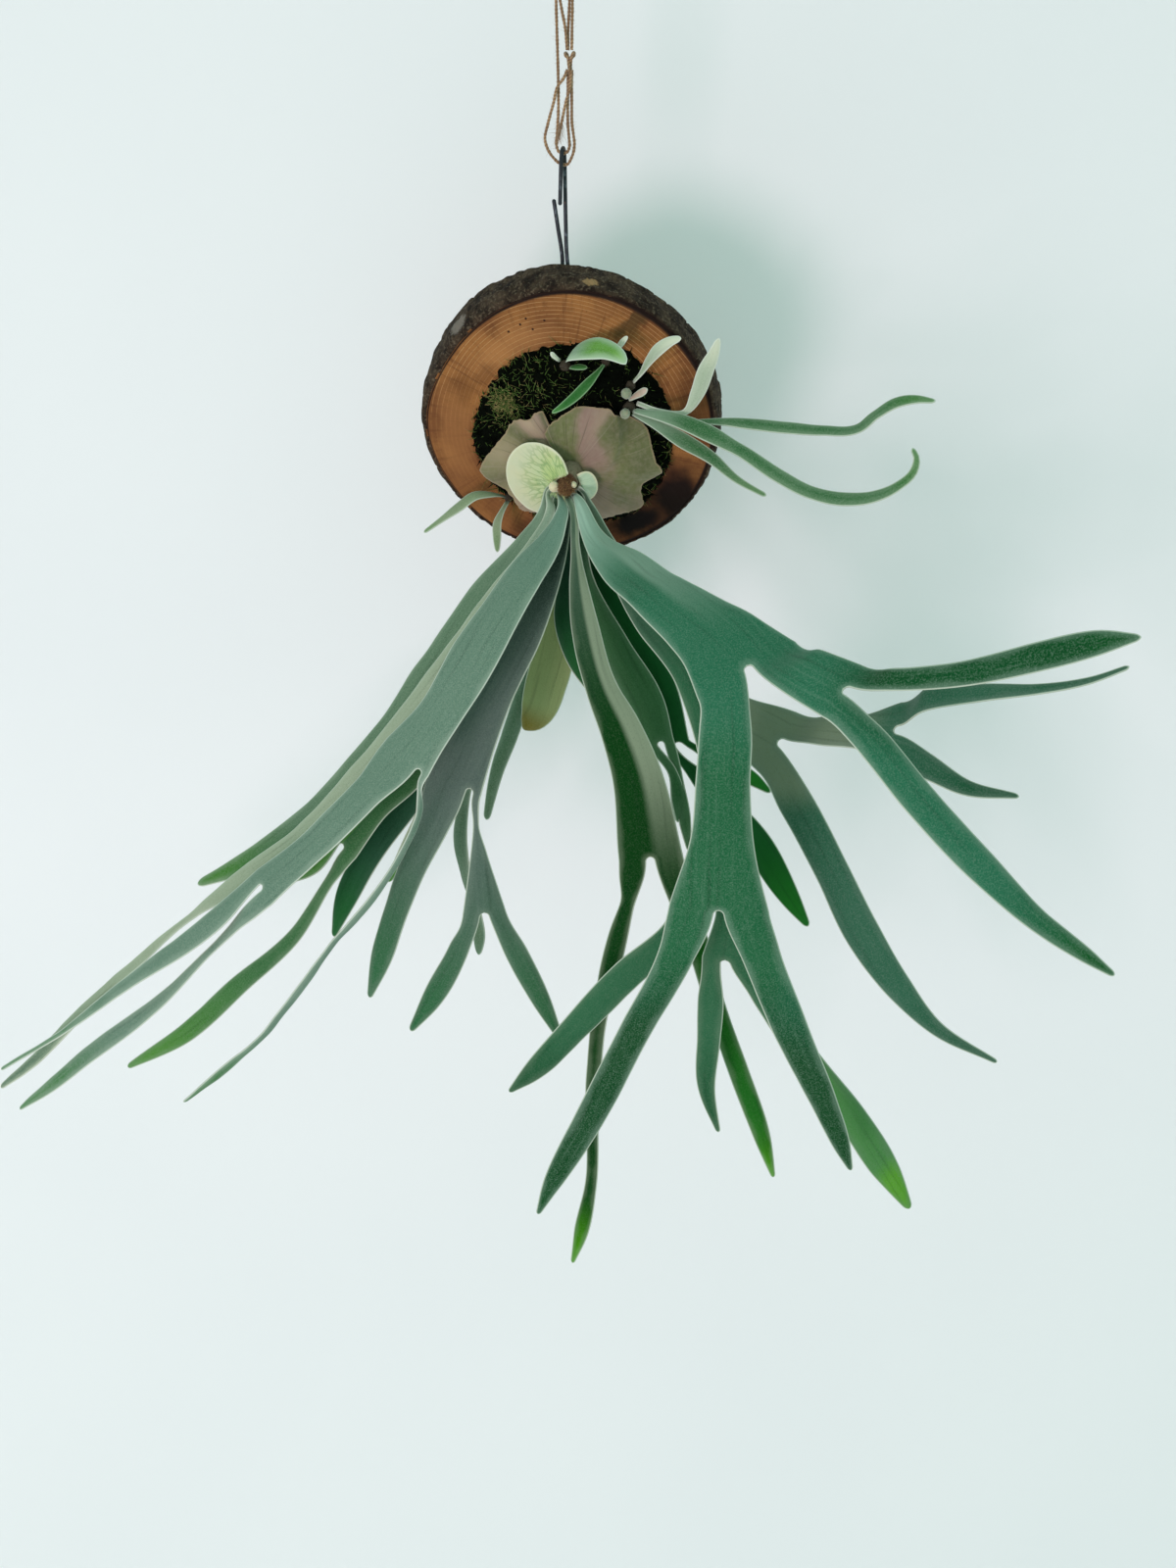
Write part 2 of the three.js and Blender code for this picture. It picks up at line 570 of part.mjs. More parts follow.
const centreBack = blade([-0.1, 0.95, 0.4],
  [...foot(4, 9.2, 14), [7, -2, -20, 5], [19, 24, -56, 8], [41, 48, -93, 19], [64, 64, -127, 23],
    [73, 70, -148, 18]], [
    blade([0.7, 0.7, 0.2], [[82, 74, -166, 8], [86, 76, -186, 11], [86, 76, -201, 3]]),
    blade([0, 1, 0.3], [[85, 72, -172, 7], [90, 75, -198, 9], [94, 76, -221, 3]]),
  ]);

const leftGrey = blade([-0.3, 0.85, 0.4],
  [...foot(-16, 6.3, 12.8), [2, 8, -17, 6], [2, 24, -31, 9], [-3, 46, -49, 17], [-12, 68, -77, 23],
    [-32, 90, -118, 26], [-54, 104, -169, 43]], [
    blade([-0.2, 0.95, 0.3], [[-68, 110, -198, 26], [-83, 112, -230, 21], [-95, 112, -261, 19],
      [-107, 110, -295, 17], [-120, 106, -333, 4]]),
    blade([0.2, 0.95, 0.3], [[-41, 112, -194, 5], [-39, 114, -216, 12], [-36, 114, -257, 28]], [
      blade([-0.1, 1, 0.2], [[-54, 113, -289, 16], [-74, 111, -327, 15], [-91, 108, -355, 4]]),
      blade([0.1, 1, 0.2], [[-16, 114, -285, 17], [1, 112, -322, 13], [14, 110, -352, 4]]),
    ]),
  ], 0.82);

const leftFront = blade([-0.35, 0.75, 0.55],
  [...foot(-38, 1), [0, 12, -11, 7], [-3, 36, -24, 19], [-16, 70, -44, 30], [-34, 102, -75, 36],
    [-57, 128, -116, 35], [-76, 138, -142, 44]], [
    blade([-0.35, 0.7, 0.6], [[-102, 148, -166, 28], [-133, 156, -197, 25], [-166, 162, -226, 30]], [
      blade([-0.3, 0.75, 0.6], [[-195, 166, -247, 18], [-221, 168, -269, 16], [-263, 170, -300, 11],
        [-312, 170, -340, 5], [-364, 168, -376, 3]]),
      blade([-0.3, 0.8, 0.5], [[-204, 164, -271, 7], [-247, 164, -316, 11], [-297, 162, -358, 13],
        [-336, 160, -393, 9], [-361, 158, -414, 3]]),
    ]),
    blade([0.85, 0.5, 0.1], [[-73, 136, -184, 9], [-93, 136, -224, 9], [-133, 134, -277, 9],
      [-199, 128, -366, 9], [-232, 124, -398, 9], [-256, 122, -421, 4]]),
  ], 0.84);

const leftMiddle = blade([-0.35, 0.7, 0.6],
  [...foot(-66, 7, 13.2), [-9, 6, -13, 6], [-16, 26, -33, 13], [-37, 54, -66, 25], [-65, 80, -108, 28],
    [-94, 96, -145, 28], [-132, 108, -188, 22], [-165, 116, -219, 19], [-202, 122, -246, 16],
    [-234, 126, -270, 6], [-271, 128, -303, 8], [-318, 130, -347, 9], [-362, 128, -393, 10],
    [-393, 126, -420, 4]]);

const leftOuter = blade([-0.3, 0.75, 0.6],
  [...foot(-71, 9.9, 13.4), [-14, 2, -15, 7], [-25, 15, -34, 14], [-49, 38, -68, 29], [-76, 56, -112, 33],
    [-107, 70, -154, 30], [-140, 78, -191, 24], [-173, 84, -220, 19], [-208, 88, -246, 16],
    [-243, 90, -264, 6]]);

const leftUnder = blade([-0.2, 0.9, 0.4],
  [...foot(-36, 9.2, 14), [-6, -1, -22, 5], [-12, 14, -43, 10], [-32, 42, -87, 18], [-59, 62, -134, 24],
    [-84, 78, -178, 35]], [
    blade([-0.3, 0.8, 0.5], [[-113, 90, -200, 21], [-134, 96, -224, 26]], [
      blade([-0.3, 0.7, 0.6], [[-154, 100, -240, 12], [-177, 102, -252, 4]]),
      blade([-0.3, 0.9, 0.3], [[-145, 94, -248, 10], [-177, 94, -298, 12], [-219, 92, -339, 15],
        [-263, 90, -383, 15], [-314, 86, -420, 4]]),
    ]),
    blade([0.5, 0.8, 0.2], [[-88, 82, -210, 9], [-99, 82, -235, 9], [-110, 80, -257, 4]]),
  ], 0.7);

const leftDark = blade([-0.2, 0.95, 0.3],
  [...foot(-46, 11.6, 12.8), [-8, -9, -22, 5], [-14, 4, -48, 8], [-30, 24, -96, 17], [-60, 42, -148, 22],
    [-99, 52, -201, 24], [-128, 58, -245, 20], [-148, 58, -282, 17], [-160, 56, -315, 4]]);

const shortDark = blade([0.1, 0.95, 0.3],
  [...foot(20, 12.4, 16), [4, -8, -24, 5], [3, 10, -52, 8], [4, 22, -81, 17], [12, 28, -109, 14],
    [24, 30, -133, 4]]);

const oldOlive = blade([0.1, 0.95, 0.3],
  [...foot(6, 15.6, 17.5), [6, -18, -26, 5], [2, -11, -63, 14], [-6, -6, -100, 26], [-14, -2, -134, 29],
    [-23, 0, -161, 21], [-31, 0, -171, 9]]);

const thinDark = blade([-0.2, 0.9, 0.4],
  [...foot(-14, 12.6, 16), [-3, -16, -33, 5], [-10, -20, -76, 8], [-25, -17, -121, 11],
    [-34, -13, -152, 12], [-43, -9, -180, 13], [-52, -6, -206, 11], [-60, -4, -243, 5]]);

const thinGreen = blade([-0.6, 0.8, 0.3],
  [...foot(-94, 13.2), [-14, -13, -24, 4], [-17, -6, -53, 5], [-36, 14, -108, 8], [-55, 26, -172, 8],
    [-66, 33, -212, 9], [-70, 36, -242, 14], [-66, 38, -268, 13], [-60, 38, -294, 11], [-58, 38, -315, 12],
    [-59, 38, -331, 6]]);

const FRONDS = [
  ['frond_right_arch', rightArch, 'frond'], ['frond_right_inner', rightInner, 'frond'],
  ['frond_right_back', rightBack, 'frondGrey'], ['frond_right_dark', rightDark, 'frondDark'],
  ['frond_centre', centre, 'frond'], ['frond_centre_back', centreBack, 'frondDark'],
  ['frond_left_grey', leftGrey, 'frondGrey'], ['frond_left_front', leftFront, 'frondPale'],
  ['frond_left_middle', leftMiddle, 'frondPale'], ['frond_left_outer', leftOuter, 'frondPale'],
  ['frond_left_under', leftUnder, 'frond'], ['frond_left_dark', leftDark, 'frondDark'],
  ['frond_short_dark', shortDark, 'frondDark'], ['frond_old_olive', oldOlive, 'frondOld'],
  ['frond_thin_dark', thinDark, 'frondDark'], ['frond_thin_green', thinGreen, 'frond'],
];
for (const [name, shape, finish] of FRONDS) {
  piece(crown, name, bladeSolid({ ...shape, clasps: true }, FROND_THICKNESS), finish);
}

// Leaves of the young plantlets, in the same stations from the crown

const LEAVES = [
  ['pup_top_leaf_broad', 'leaf', blade([-0.2, 0.6, 0.8],
    [[0.6, -3.6, 80.2, 3], [4, 1, 84, 9], [11, 6, 88, 16], [21, 12, 90, 18], [31, 16, 89, 14],
      [39, 20, 85, 8], [42, 22, 82, 3]])],
  ['pup_top_leaf_small', 'leaf', blade([0, 0.7, 0.7], [[2.6, -4.4, 76.2, 3], [8, 0, 77, 5],
    [15, 4, 77, 3]])],
  ['pup_top_leaf_nub', 'leafPale', blade([-0.1, 0.9, 0.4], [[-4, -5, 80, 2], [-7, -1, 83, 3],
    [-9, 1, 86, 3]])],
  ['pup_top_leaf_dark', 'frondDark', blade([0.3, 0.8, 0.5],
    [[24.1, -5.6, 78, 2], [22, 1, 75, 3], [16, 6, 68, 6], [7, 10, 59, 6], [-1, 13, 53, 4],
    [-6, 14, 50, 2]])],
  ['pup_top_leaf_behind', 'leafPale', blade([-0.3, 0.9, 0.3],
    [[26.6, -6.7, 82, 2], [33, 1, 88, 3], [38, 4, 94, 4], [41, 6, 97, 2]])],
  ['pup_side_leaf_upright', 'leafPale', blade([-0.2, 0.9, 0.3],
    [[43, -9, 67, 2], [49, 0, 74, 3], [55, 6, 83, 6], [61, 12, 90, 8], [70, 17, 96, 6], [76, 20, 98, 3]])],
  ['pup_side_leaf_pink', 'leafPale', blade([-0.2, 0.9, 0.3],
    [[40, -10.5, 55.6, 2], [45, -7, 59, 4], [50, -4, 62, 5], [53, -2, 64, 3]])],
  ['pup_side_leaf_pale', 'leafPale', blade([0.1, 1, 0.2],
    [[45, -12, 53.5, 3], [61, -4, 50, 3], [78, 3, 51, 4], [86, 8, 64, 9], [91, 12, 78, 10], [96, 15, 89, 7],
      [99, 17, 98, 3]])],
  ['pup_side_frond_upper', 'leaf', blade([0.1, 0.7, 0.7],
    [[44, -14, 49, 3], [61, -11, 45, 3], [80, 0, 44, 4], [92, 8, 46, 5], [120, 24, 48, 9], [142, 36, 48, 9],
      [166, 50, 49, 8], [187, 62, 53, 8], [196, 69, 62, 7], [207, 76, 70, 8], [218, 82, 73, 6],
      [228, 88, 73, 3]])],
  ['pup_side_frond_lower', 'leaf', blade([0, 0.75, 0.65],
    [[43, -10, 49, 3], [73, 10, 47, 10], [94, 26, 42, 12], [116, 40, 34, 9], [141, 56, 22, 9],
      [161, 68, 15, 9], [181, 78, 14, 10], [197, 84, 17, 8], [210, 88, 24, 6], [219, 90, 34, 5],
      [220, 90, 41, 4], [217, 90, 47, 3]])],
  ['pup_side_frond_short', 'leaf', blade([-0.1, 0.85, 0.5],
    [[42.5, -12, 46.8, 3], [57, -5, 42, 6], [77, 4, 33, 10], [96, 12, 24, 8], [113, 18, 12, 5],
    [132, 22, 3, 3]])],
  ['pup_left_leaf_out', 'leaf', blade([-0.1, 0.7, 0.7],
    [[-49.4, -38.8, -15.3, 3], [-57, -27, -12, 6], [-66, -20, -12, 8], [-76, -17, -19, 8], [-87, -15, -27, 5],
      [-101, -15, -37, 3]])],
  ['pup_left_leaf_down', 'leaf', blade([-0.1, 0.95, 0.3],
    [[-47.3, -38.5, -19, 3], [-50, -30, -25, 4], [-52, -26, -31, 6], [-52, -24, -41, 6],
    [-52, -24, -51, 3]])],
];
for (const [name, finish, shape] of LEAVES) piece(crown, name, bladeSolid(shape, LEAF_THICKNESS), finish);

// Round wire and twine: a circle carried along a smooth route, from the middle of the slice's face

function round(route, diameter, sides, step) {
  const curve = new THREE.CatmullRomCurve3(route.map((p) => new THREE.Vector3(...p)));
  const section = new THREE.Shape();
  for (let i = 0; i <= sides; i += 1) {
    const angle = (2 * Math.PI * i) / sides;
    const place = [(diameter / 2) * Math.cos(angle), (diameter / 2) * Math.sin(angle)];
    if (i) section.lineTo(...place);
    else section.moveTo(...place);
  }
  const steps = Math.ceil(curve.getLength() / step);
  return new THREE.ExtrudeGeometry(section, { steps, extrudePath: curve, bevelEnabled: false });
}

// The wire: short leg, over the top as a hook, down behind the slice, round the screw and up to its free end.
const screwAt = onSlice(SCREW.right, -SLICE_THICKNESS - 2.2, SCREW.up).applyEuler(slice.rotation);
const aroundScrew = (angle) => {
  const reach = SCREW.shank / 2 + GAP + WIRE / 2 + 0.3;
  const flat = onSlice(reach * Math.cos(angle), 0, reach * Math.sin(angle)).applyEuler(slice.rotation);
  return screwAt.clone().add(flat).toArray();
};
const WIRE_ROUTE = [
  [-6.2, -3.4, 128.5], [-5.7, -3.4, 143], [-5.2, -3.2, 156], [-4.9, -2.2, 160.6], [-4.6, 0, 162],
  [-4.4, 2.2, 160.6], [-4.3, 3.2, 156], [-4.2, 4.2, 140], [-4.1, 5.4, 118], [-3.6, 7, 96], [-1.2, 9.8, 76],
  aroundScrew(0.1), aroundScrew(-0.8), aroundScrew(-1.57), aroundScrew(-2.4), aroundScrew(-3.2),
  [-8, 9.8, 76], [-6.8, 7.4, 96], [-9, 4.4, 115], [-11.2, 2, 132],
];
piece(hung, 'hanger_wire', round(WIRE_ROUTE, WIRE, 8, 4), 'wire', 0.6);

// The twine. Its two ends meet in a knot. One turn of it carries the wire hook, a shorter turn only goes over
// the nail, and a slack bight hangs through the hook below.
const KNOT = { right: -0.2, up: 212, radius: 4.1, half: 8.5 };
const TIGHT_TURN = [
  [-1.5, 1.2, 217.5], [-1.3, 1.2, 228], [-0.6, 1.2, 240], [-0.2, 1.2, 250], [-0.1, 1.2, 258.8],
  [-1.4, 1.2, 261.8], [-4.3, 1.2, 263], [-7.2, 1.2, 261.8], [-8.5, 1.2, 258.8], [-8.6, 1, 246],
  [-8.1, 0.8, 225], [-7.5, 0.6, 198], [-7.6, 0.4, 182], [-8.4, 0.2, 170], [-8.6, 0, 162.8], [-7.4, 0, 160],
  [-4.6, 0, 158.8], [-1.8, 0, 160], [-0.6, 0, 162.8], [-0.9, 0.3, 168], [-1.6, 0.7, 175.5],
  [-1.7, 1, 184], [-1.6, 1.2, 196], [-1.5, 1.2, 206.5],
];
const SHORT_TURN = [
  [-1.5, -1.2, 217.5], [-2.6, -1.2, 229], [-5, -1.2, 241], [-6.8, -1.2, 251], [-7, -1.2, 258.9],
  [-5.8, -1.2, 261.8], [-2.9, -1.2, 263], [0, -1.2, 261.8], [1.2, -1.2, 258.9], [1.8, -1.2, 247],
  [1.5, -0.8, 232], [1.1, 0, 217.5],
];
const SLACK_BIGHT = [
  [-1.5, -1.2, 206.5], [-3.5, -2.2, 202], [-7.4, -2.6, 197], [-10, -2.4, 188], [-13.8, -1.8, 176],
  [-15.8, -1.4, 167], [-14, -1, 161], [-10.8, -0.6, 156.5], [-6.4, 0, 153], [-2.4, 0.2, 152.4], [1, 0, 157],
  [2.6, 0, 164], [1.9, 0.4, 170], [1, 0.8, 176], [0.8, 1.1, 184], [0.8, 1.2, 196], [0.9, 1.2, 206.5],
];
const FRAYED_END = [
  [0.9, -1.2, 206.5], [0.2, -1.5, 197], [-2.4, -1.9, 188], [-5, -2.2, 177], [-6.8, -2.6, 168],
];
const TWINE_PIECES = [
  ['twine_tight_turn', TIGHT_TURN], ['twine_short_turn', SHORT_TURN], ['twine_slack_bight', SLACK_BIGHT],
  ['twine_frayed_end', FRAYED_END],
];
const knot = new THREE.SphereGeometry(1, 14, 10);
knot.rotateX(Math.PI / 2);
knot.scale(KNOT.radius, KNOT.radius * 0.9, KNOT.half);
knot.translate(KNOT.right, 0, KNOT.up);
let knotSolid = manifoldOf(knot);
const longer = (route) => {
  const beyond = (end, next) => {
    const away = 0.5 / Math.abs(end[2] - next[2]);
    return end.map((value, k) => value + away * (value - next[k]));
  };
  return [beyond(route[0], route[1]), ...route, beyond(route.at(-1), route.at(-2))];
};
for (const [name, route] of TWINE_PIECES) {
  piece(hung, name, round(route, TWINE, 8, 4), 'twine');
  knotSolid = knotSolid.subtract(manifoldOf(round(longer(route), TWINE + 2 * GAP, 8, 4)));
}
piece(hung, 'twine_knot', geometryFromManifold(knotSolid), 'twine');

export default fern;
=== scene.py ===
# %% [markdown]
# # A staghorn fern mounted on a slice of log
#
# The plant is dressed around a fixed frame of plain solids, in metres, with Z up and the fern's front
# towards -Y. The origin is the inside of the top of the twine loop. The first cell loads that frame.

# %% The fixed frame
import functools
import math

import bpy
import numpy as np
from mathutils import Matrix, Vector


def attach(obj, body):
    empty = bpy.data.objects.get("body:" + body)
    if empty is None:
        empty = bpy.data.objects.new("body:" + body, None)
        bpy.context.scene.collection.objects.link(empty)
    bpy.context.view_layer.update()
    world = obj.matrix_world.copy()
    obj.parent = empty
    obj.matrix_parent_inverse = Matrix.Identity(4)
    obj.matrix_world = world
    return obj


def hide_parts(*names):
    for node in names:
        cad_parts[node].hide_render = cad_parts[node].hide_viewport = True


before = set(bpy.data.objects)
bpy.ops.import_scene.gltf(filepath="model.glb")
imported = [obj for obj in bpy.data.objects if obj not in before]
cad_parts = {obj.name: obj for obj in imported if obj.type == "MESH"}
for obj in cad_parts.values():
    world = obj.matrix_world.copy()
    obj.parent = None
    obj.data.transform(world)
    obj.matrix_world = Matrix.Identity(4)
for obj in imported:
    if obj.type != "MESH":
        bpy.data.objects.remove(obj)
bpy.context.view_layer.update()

# %% [markdown]
# ## Places
#
# The slice hangs from one point, and the weight of the fronds tips its top forward. So the slice has axes
# of its own: right, up along its sawn face, and off the face. The fronds all start at the crown, where the
# growing bud stands out of the moss, and their points are counted from there: right, front and up. Lengths
# are in millimetres until a mesh is made.

# %% The slice's axes and the crown
MM = 0.001
LEAN = math.radians(18)
FACE = np.array([3.5, 0.0, -262.0])
RIGHT = np.array([1.0, 0.0, 0.0])
UP = np.array([0.0, -math.sin(LEAN), math.cos(LEAN)])
OFF = np.array([0.0, -math.cos(LEAN), -math.sin(LEAN)])


def on_slice(right, off, up):
    """Points given by their place on the slice: face middle + right * RIGHT + off * OFF + up * UP."""
    right, off, up = (np.asarray(value, float)[..., None] for value in (right, off, up))
    return FACE + right * RIGHT + off * OFF + up * UP


SLICE_THICKNESS = 30.0
CROWN_RIGHT, CROWN_OFF, CROWN_UP = 1.0, 42.0, -33.0
CROWN = on_slice(CROWN_RIGHT, CROWN_OFF, CROWN_UP)
FRONT = np.array([1.0, -1.0, 1.0])      # turns right, front, up into x, y, z
print("crown at", CROWN.round(1))

# %% [markdown]
# ## The camera
#
# The photograph looks down on the fern, a little from its right. A long side of 36 mm and a lens of 36 mm
# give the photograph's perspective. The camera has no shift and no depth of field.

# %% Camera
VIEW_TURN = math.radians(9)
VIEW_DOWN = math.radians(22)
CAMERA_FROM_FACE = np.array([176.2, -1042.1, 160.6])

lens = bpy.data.cameras.new("view")
lens.lens, lens.sensor_width = 36, 36
camera = bpy.data.objects.new("view", lens)
camera.location = (FACE + CAMERA_FROM_FACE) * MM
ahead = Vector((-math.sin(VIEW_TURN) * math.cos(VIEW_DOWN), math.cos(VIEW_TURN) * math.cos(VIEW_DOWN),
                -math.sin(VIEW_DOWN)))
camera.rotation_euler = ahead.to_track_quat("-Z", "Y").to_euler()
bpy.context.scene.collection.objects.link(camera)
bpy.context.scene.camera = camera
bpy.context.scene.view_settings.view_transform = "Standard"
print("camera at", [round(x, 3) for x in camera.location])

# %% [markdown]
# ## Tools for shapes
#
# Every piece is a surface worked out with numpy: rows and columns of points, joined by quads. A stack of
# closed rings with a point at each end makes wires, twine, buds and the log itself. A flat sheet gets its
# wall by moving its points to both sides, so a leaf has a real edge. Relief comes from sine waves that
# cross at random, which is smooth, seeded, and never repeats to the eye.

# %% Grids, rings and sheets
def grid_quads(index):
    """Quads between the neighbours of a grid of point numbers."""
    return np.stack([index[:-1, :-1], index[:-1, 1:], index[1:, 1:], index[1:, :-1]], -1).reshape(-1, 4)


def closed_rings(first, rings, last):
    """Points and faces of a stack of rings (rows, columns, 3), with a fan to a point at each end."""
    rows, columns = rings.shape[:2]
    points = np.vstack([first, rings.reshape(-1, 3), last])
    index = 1 + np.arange(rows * columns).reshape(rows, columns)
    index = np.hstack([index, index[:, :1]])
    start = np.stack([np.zeros(columns, int), index[0, 1:], index[0, :-1]], -1)
    end = np.stack([np.full(columns, rows * columns + 1), index[-1, :-1], index[-1, 1:]], -1)
    return points, [grid_quads(index), start, end]


def open_edges(quads):
    """The edges of a sheet's rim, each as (from, to) in the direction of its quad."""
    edges = np.concatenate([quads[:, [0, 1]], quads[:, [1, 2]], quads[:, [2, 3]], quads[:, [3, 0]]])
    size = quads.max() + 1
    twins = np.isin(edges[:, 0] * size + edges[:, 1], edges[:, 1] * size + edges[:, 0])
    return edges[~twins]


def sheet_normals(points, quads):
    """Unit normals at a sheet's points: the sum of the cross products of its quads' diagonals there."""
    corner = points[quads]
    area = np.cross(corner[:, 2] - corner[:, 0], corner[:, 3] - corner[:, 1])
    total = np.zeros_like(points)
    np.add.at(total, quads.ravel(), np.repeat(area, 4, axis=0))
    return total / np.maximum(np.linalg.norm(total, axis=1, keepdims=True), 1e-9)


def walled(points, quads, half):
    """Both faces of a sheet, half a thickness to each side of it, and the wall round its rim."""
    count = len(points)
    shift = sheet_normals(points, quads) * half[:, None]
    rim = open_edges(quads)
    wall = np.stack([rim[:, 1], rim[:, 0], rim[:, 0] + count, rim[:, 1] + count], -1)
    return np.vstack([points + shift, points - shift]), [quads, quads[:, ::-1] + count, wall]


def from_rim(points, quads):
    """How far each point of a sheet lies from the nearest point of its rim."""
    rim = points[np.unique(open_edges(quads))]
    squares = (points ** 2).sum(1)[:, None] + (rim ** 2).sum(1) - 2 * points @ rim.T
    return np.sqrt(np.maximum(squares.min(1), 0))


# %% Relief, outlines and smooth routes
def relief(points, size, seed, finer=2):
    """From about -1 to 1: twelve sine waves of the given length in random directions, then finer ones."""
    draw = np.random.default_rng(seed)
    total = np.zeros(points.shape[:-1])
    for level in range(finer + 1):
        ways = draw.normal(size=(12, points.shape[-1]))
        ways *= 2 ** level * 2 * math.pi / size / np.linalg.norm(ways, axis=1, keepdims=True)
        total += 0.5 ** level * np.sin(points @ ways.T + draw.uniform(0, 2 * math.pi, 12)).sum(-1) / 5
    return total


def smoothstep(value, start, end):
    """0 before start, 1 after end, and 3t² - 2t³ between."""
    t = np.clip((value - start) / (end - start), 0, 1)
    return t * t * (3 - 2 * t)


def hermite(here, there, slope_here, slope_there, t):
    """Cubic from one value to the next that leaves and arrives with the given slopes."""
    return ((2 * t**3 - 3 * t**2 + 1) * here + (t**3 - 2 * t**2 + t) * slope_here
            + (3 * t**2 - 2 * t**3) * there + (t**3 - t**2) * slope_there)


def outline(radii, angle):
    """Radius at any angle of a closed outline given by radii at even steps, with a cubic through them."""
    radii = np.asarray(radii, float)
    place = np.mod(angle / (2 * math.pi), 1) * len(radii)
    i = np.floor(place).astype(int)
    before, here, after, last = (radii[(i + k) % len(radii)] for k in (-1, 0, 1, 2))
    return hermite(here, after, (after - before) / 2, (last - here) / 2, place - i)


def through(distances, rows, first=None):
    """A smooth curve f(s) through rows of numbers at growing distances, with a first slope if given."""
    steps = np.diff(distances)
    secants = np.diff(rows, axis=0) / steps[:, None]
    before, after = steps[:-1, None], steps[1:, None]
    middle = (secants[:-1] * after + secants[1:] * before) / (before + after)
    slopes = np.vstack([secants[0] if first is None else first, middle, secants[-1]])

    def curve(s):
        i = np.clip(np.searchsorted(distances, s, side="right") - 1, 0, len(steps) - 1)
        step = steps[i][:, None]
        t = (s - distances[i])[:, None] / step
        return hermite(rows[i], rows[i + 1], slopes[i] * step, slopes[i + 1] * step, t)
    return curve


def route_line(route, step):
    """A smooth line through the points of a route, with a point about every step."""
    route = np.asarray(route, float)
    distances = np.append(0, np.cumsum(np.linalg.norm(np.diff(route, axis=0), axis=1)))
    count = math.ceil(distances[-1] / step) + 1
    return through(distances, route)(np.linspace(0, distances[-1], count))


def unit(vectors):
    """The same directions with length 1."""
    return vectors / np.maximum(np.linalg.norm(vectors, axis=-1, keepdims=True), 1e-9)


def tube(line, sides, radius):
    """Along a path: line(i) + radius(s, a) * (cos a * normal + sin a * binormal), closed at both ends.

    Each normal is the one before it less its part along the new tangent, so the profile never spins."""
    tangents = unit(np.gradient(line, axis=0))
    normals = np.empty_like(line)
    normal = np.array([0.0, 1.0, 0.0]) if abs(tangents[0, 1]) < 0.9 else np.array([1.0, 0.0, 0.0])
    for i, tangent in enumerate(tangents):
        normal = unit(normal - tangent * (normal @ tangent))
        normals[i] = normal
    around = np.linspace(0, 2 * math.pi, sides, endpoint=False)
    along = np.append(0, np.cumsum(np.linalg.norm(np.diff(line, axis=0), axis=1)))
    reach = radius(along[:, None], around[None, :])[..., None]
    turned = (np.cos(around)[:, None] * normals[:, None] + np.sin(around)[:, None]
              * np.cross(tangents, normals)[:, None])
    return closed_rings(line[0], line[:, None] + reach * turned, line[-1])


# %% Threads, and the mesh of a piece
def threads(roots, ways, bends, lengths, radius, rows=5):
    """Tapered threads: root + length * (u * way + u² * bend), three-sided, of radius * (1 - u²)."""
    u = np.linspace(0, 1, rows)[:, None]
    line = roots[:, None] + lengths[:, None, None] * (ways[:, None] * u + bends[:, None] * u**2)
    tangents = unit(ways[:, None] + 2 * bends[:, None] * u)
    first = unit(np.cross(tangents, ways[:, None, [1, 2, 0]] + 0.3))
    corners = np.linspace(0, 2 * math.pi, 3, endpoint=False)[:, None]
    turned = np.cos(corners) * first[:, :, None] + np.sin(corners) * np.cross(tangents, first)[:, :, None]
    rings = line[:, :, None] + np.reshape(radius, (-1, 1, 1, 1)) * (1.02 - u[..., None] ** 2) * turned
    index = np.arange(rings.size // 3).reshape(len(roots), rows, 3)
    ring = np.concatenate([index, index[:, :, :1]], 2)
    quads = np.stack([ring[:, :-1, :-1], ring[:, :-1, 1:], ring[:, 1:, 1:], ring[:, 1:, :-1]], -1)
    faces = [quads.reshape(-1, 4), index[:, 0, ::-1], index[:, -1]]
    return rings.reshape(-1, 3), faces, np.tile(np.repeat(u[:, 0], 3), len(roots))


def joined(*parts):
    """Several bundles of threads as one: points, faces with their numbers moved on, and a value per point."""
    starts = np.cumsum([0] + [len(points) for points, _, _ in parts[:-1]])
    faces = [np.concatenate([part[1][k] + start for part, start in zip(parts, starts)]) for k in range(3)]
    return np.vstack([part[0] for part in parts]), faces, np.concatenate([part[2] for part in parts])


def signed_volume(points, faces):
    """Six times the volume inside, positive where the faces look outwards."""
    total = 0.0
    for part in faces:
        corner = points[part]
        for k in range(1, part.shape[1] - 1):
            total += np.einsum("ij,ij->", corner[:, 0], np.cross(corner[:, k], corner[:, k + 1]))
    return total


def piece(name, points, faces, finish, slot, nodes=(), **layers):
    """Makes the mesh of a piece that rides on the frame and stands for the given nodes of it."""
    if signed_volume(points - points.mean(0), faces) < 0:
        faces = [part[:, ::-1] for part in faces]
    mesh = bpy.data.meshes.new(name)
    mesh.from_pydata((points * MM).tolist(), [], [face for part in faces for face in part.tolist()])
    mesh.polygons.foreach_set("use_smooth", np.ones(len(mesh.polygons), bool))
    for key, values in layers.items():
        flat = values.ndim == 1
        layer = mesh.attributes.new(key, "FLOAT" if flat else "FLOAT_VECTOR", "POINT")
        layer.data.foreach_set("value" if flat else "vector", values.astype(np.float32).ravel())
    mesh.materials.append(finish)
    thing = bpy.data.objects.new(name, mesh)
    bpy.context.scene.collection.objects.link(thing)
    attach(thing, "root")
    if nodes:
        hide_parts(*nodes)
    print(f"{name}: {len(points)} points")
    return thing


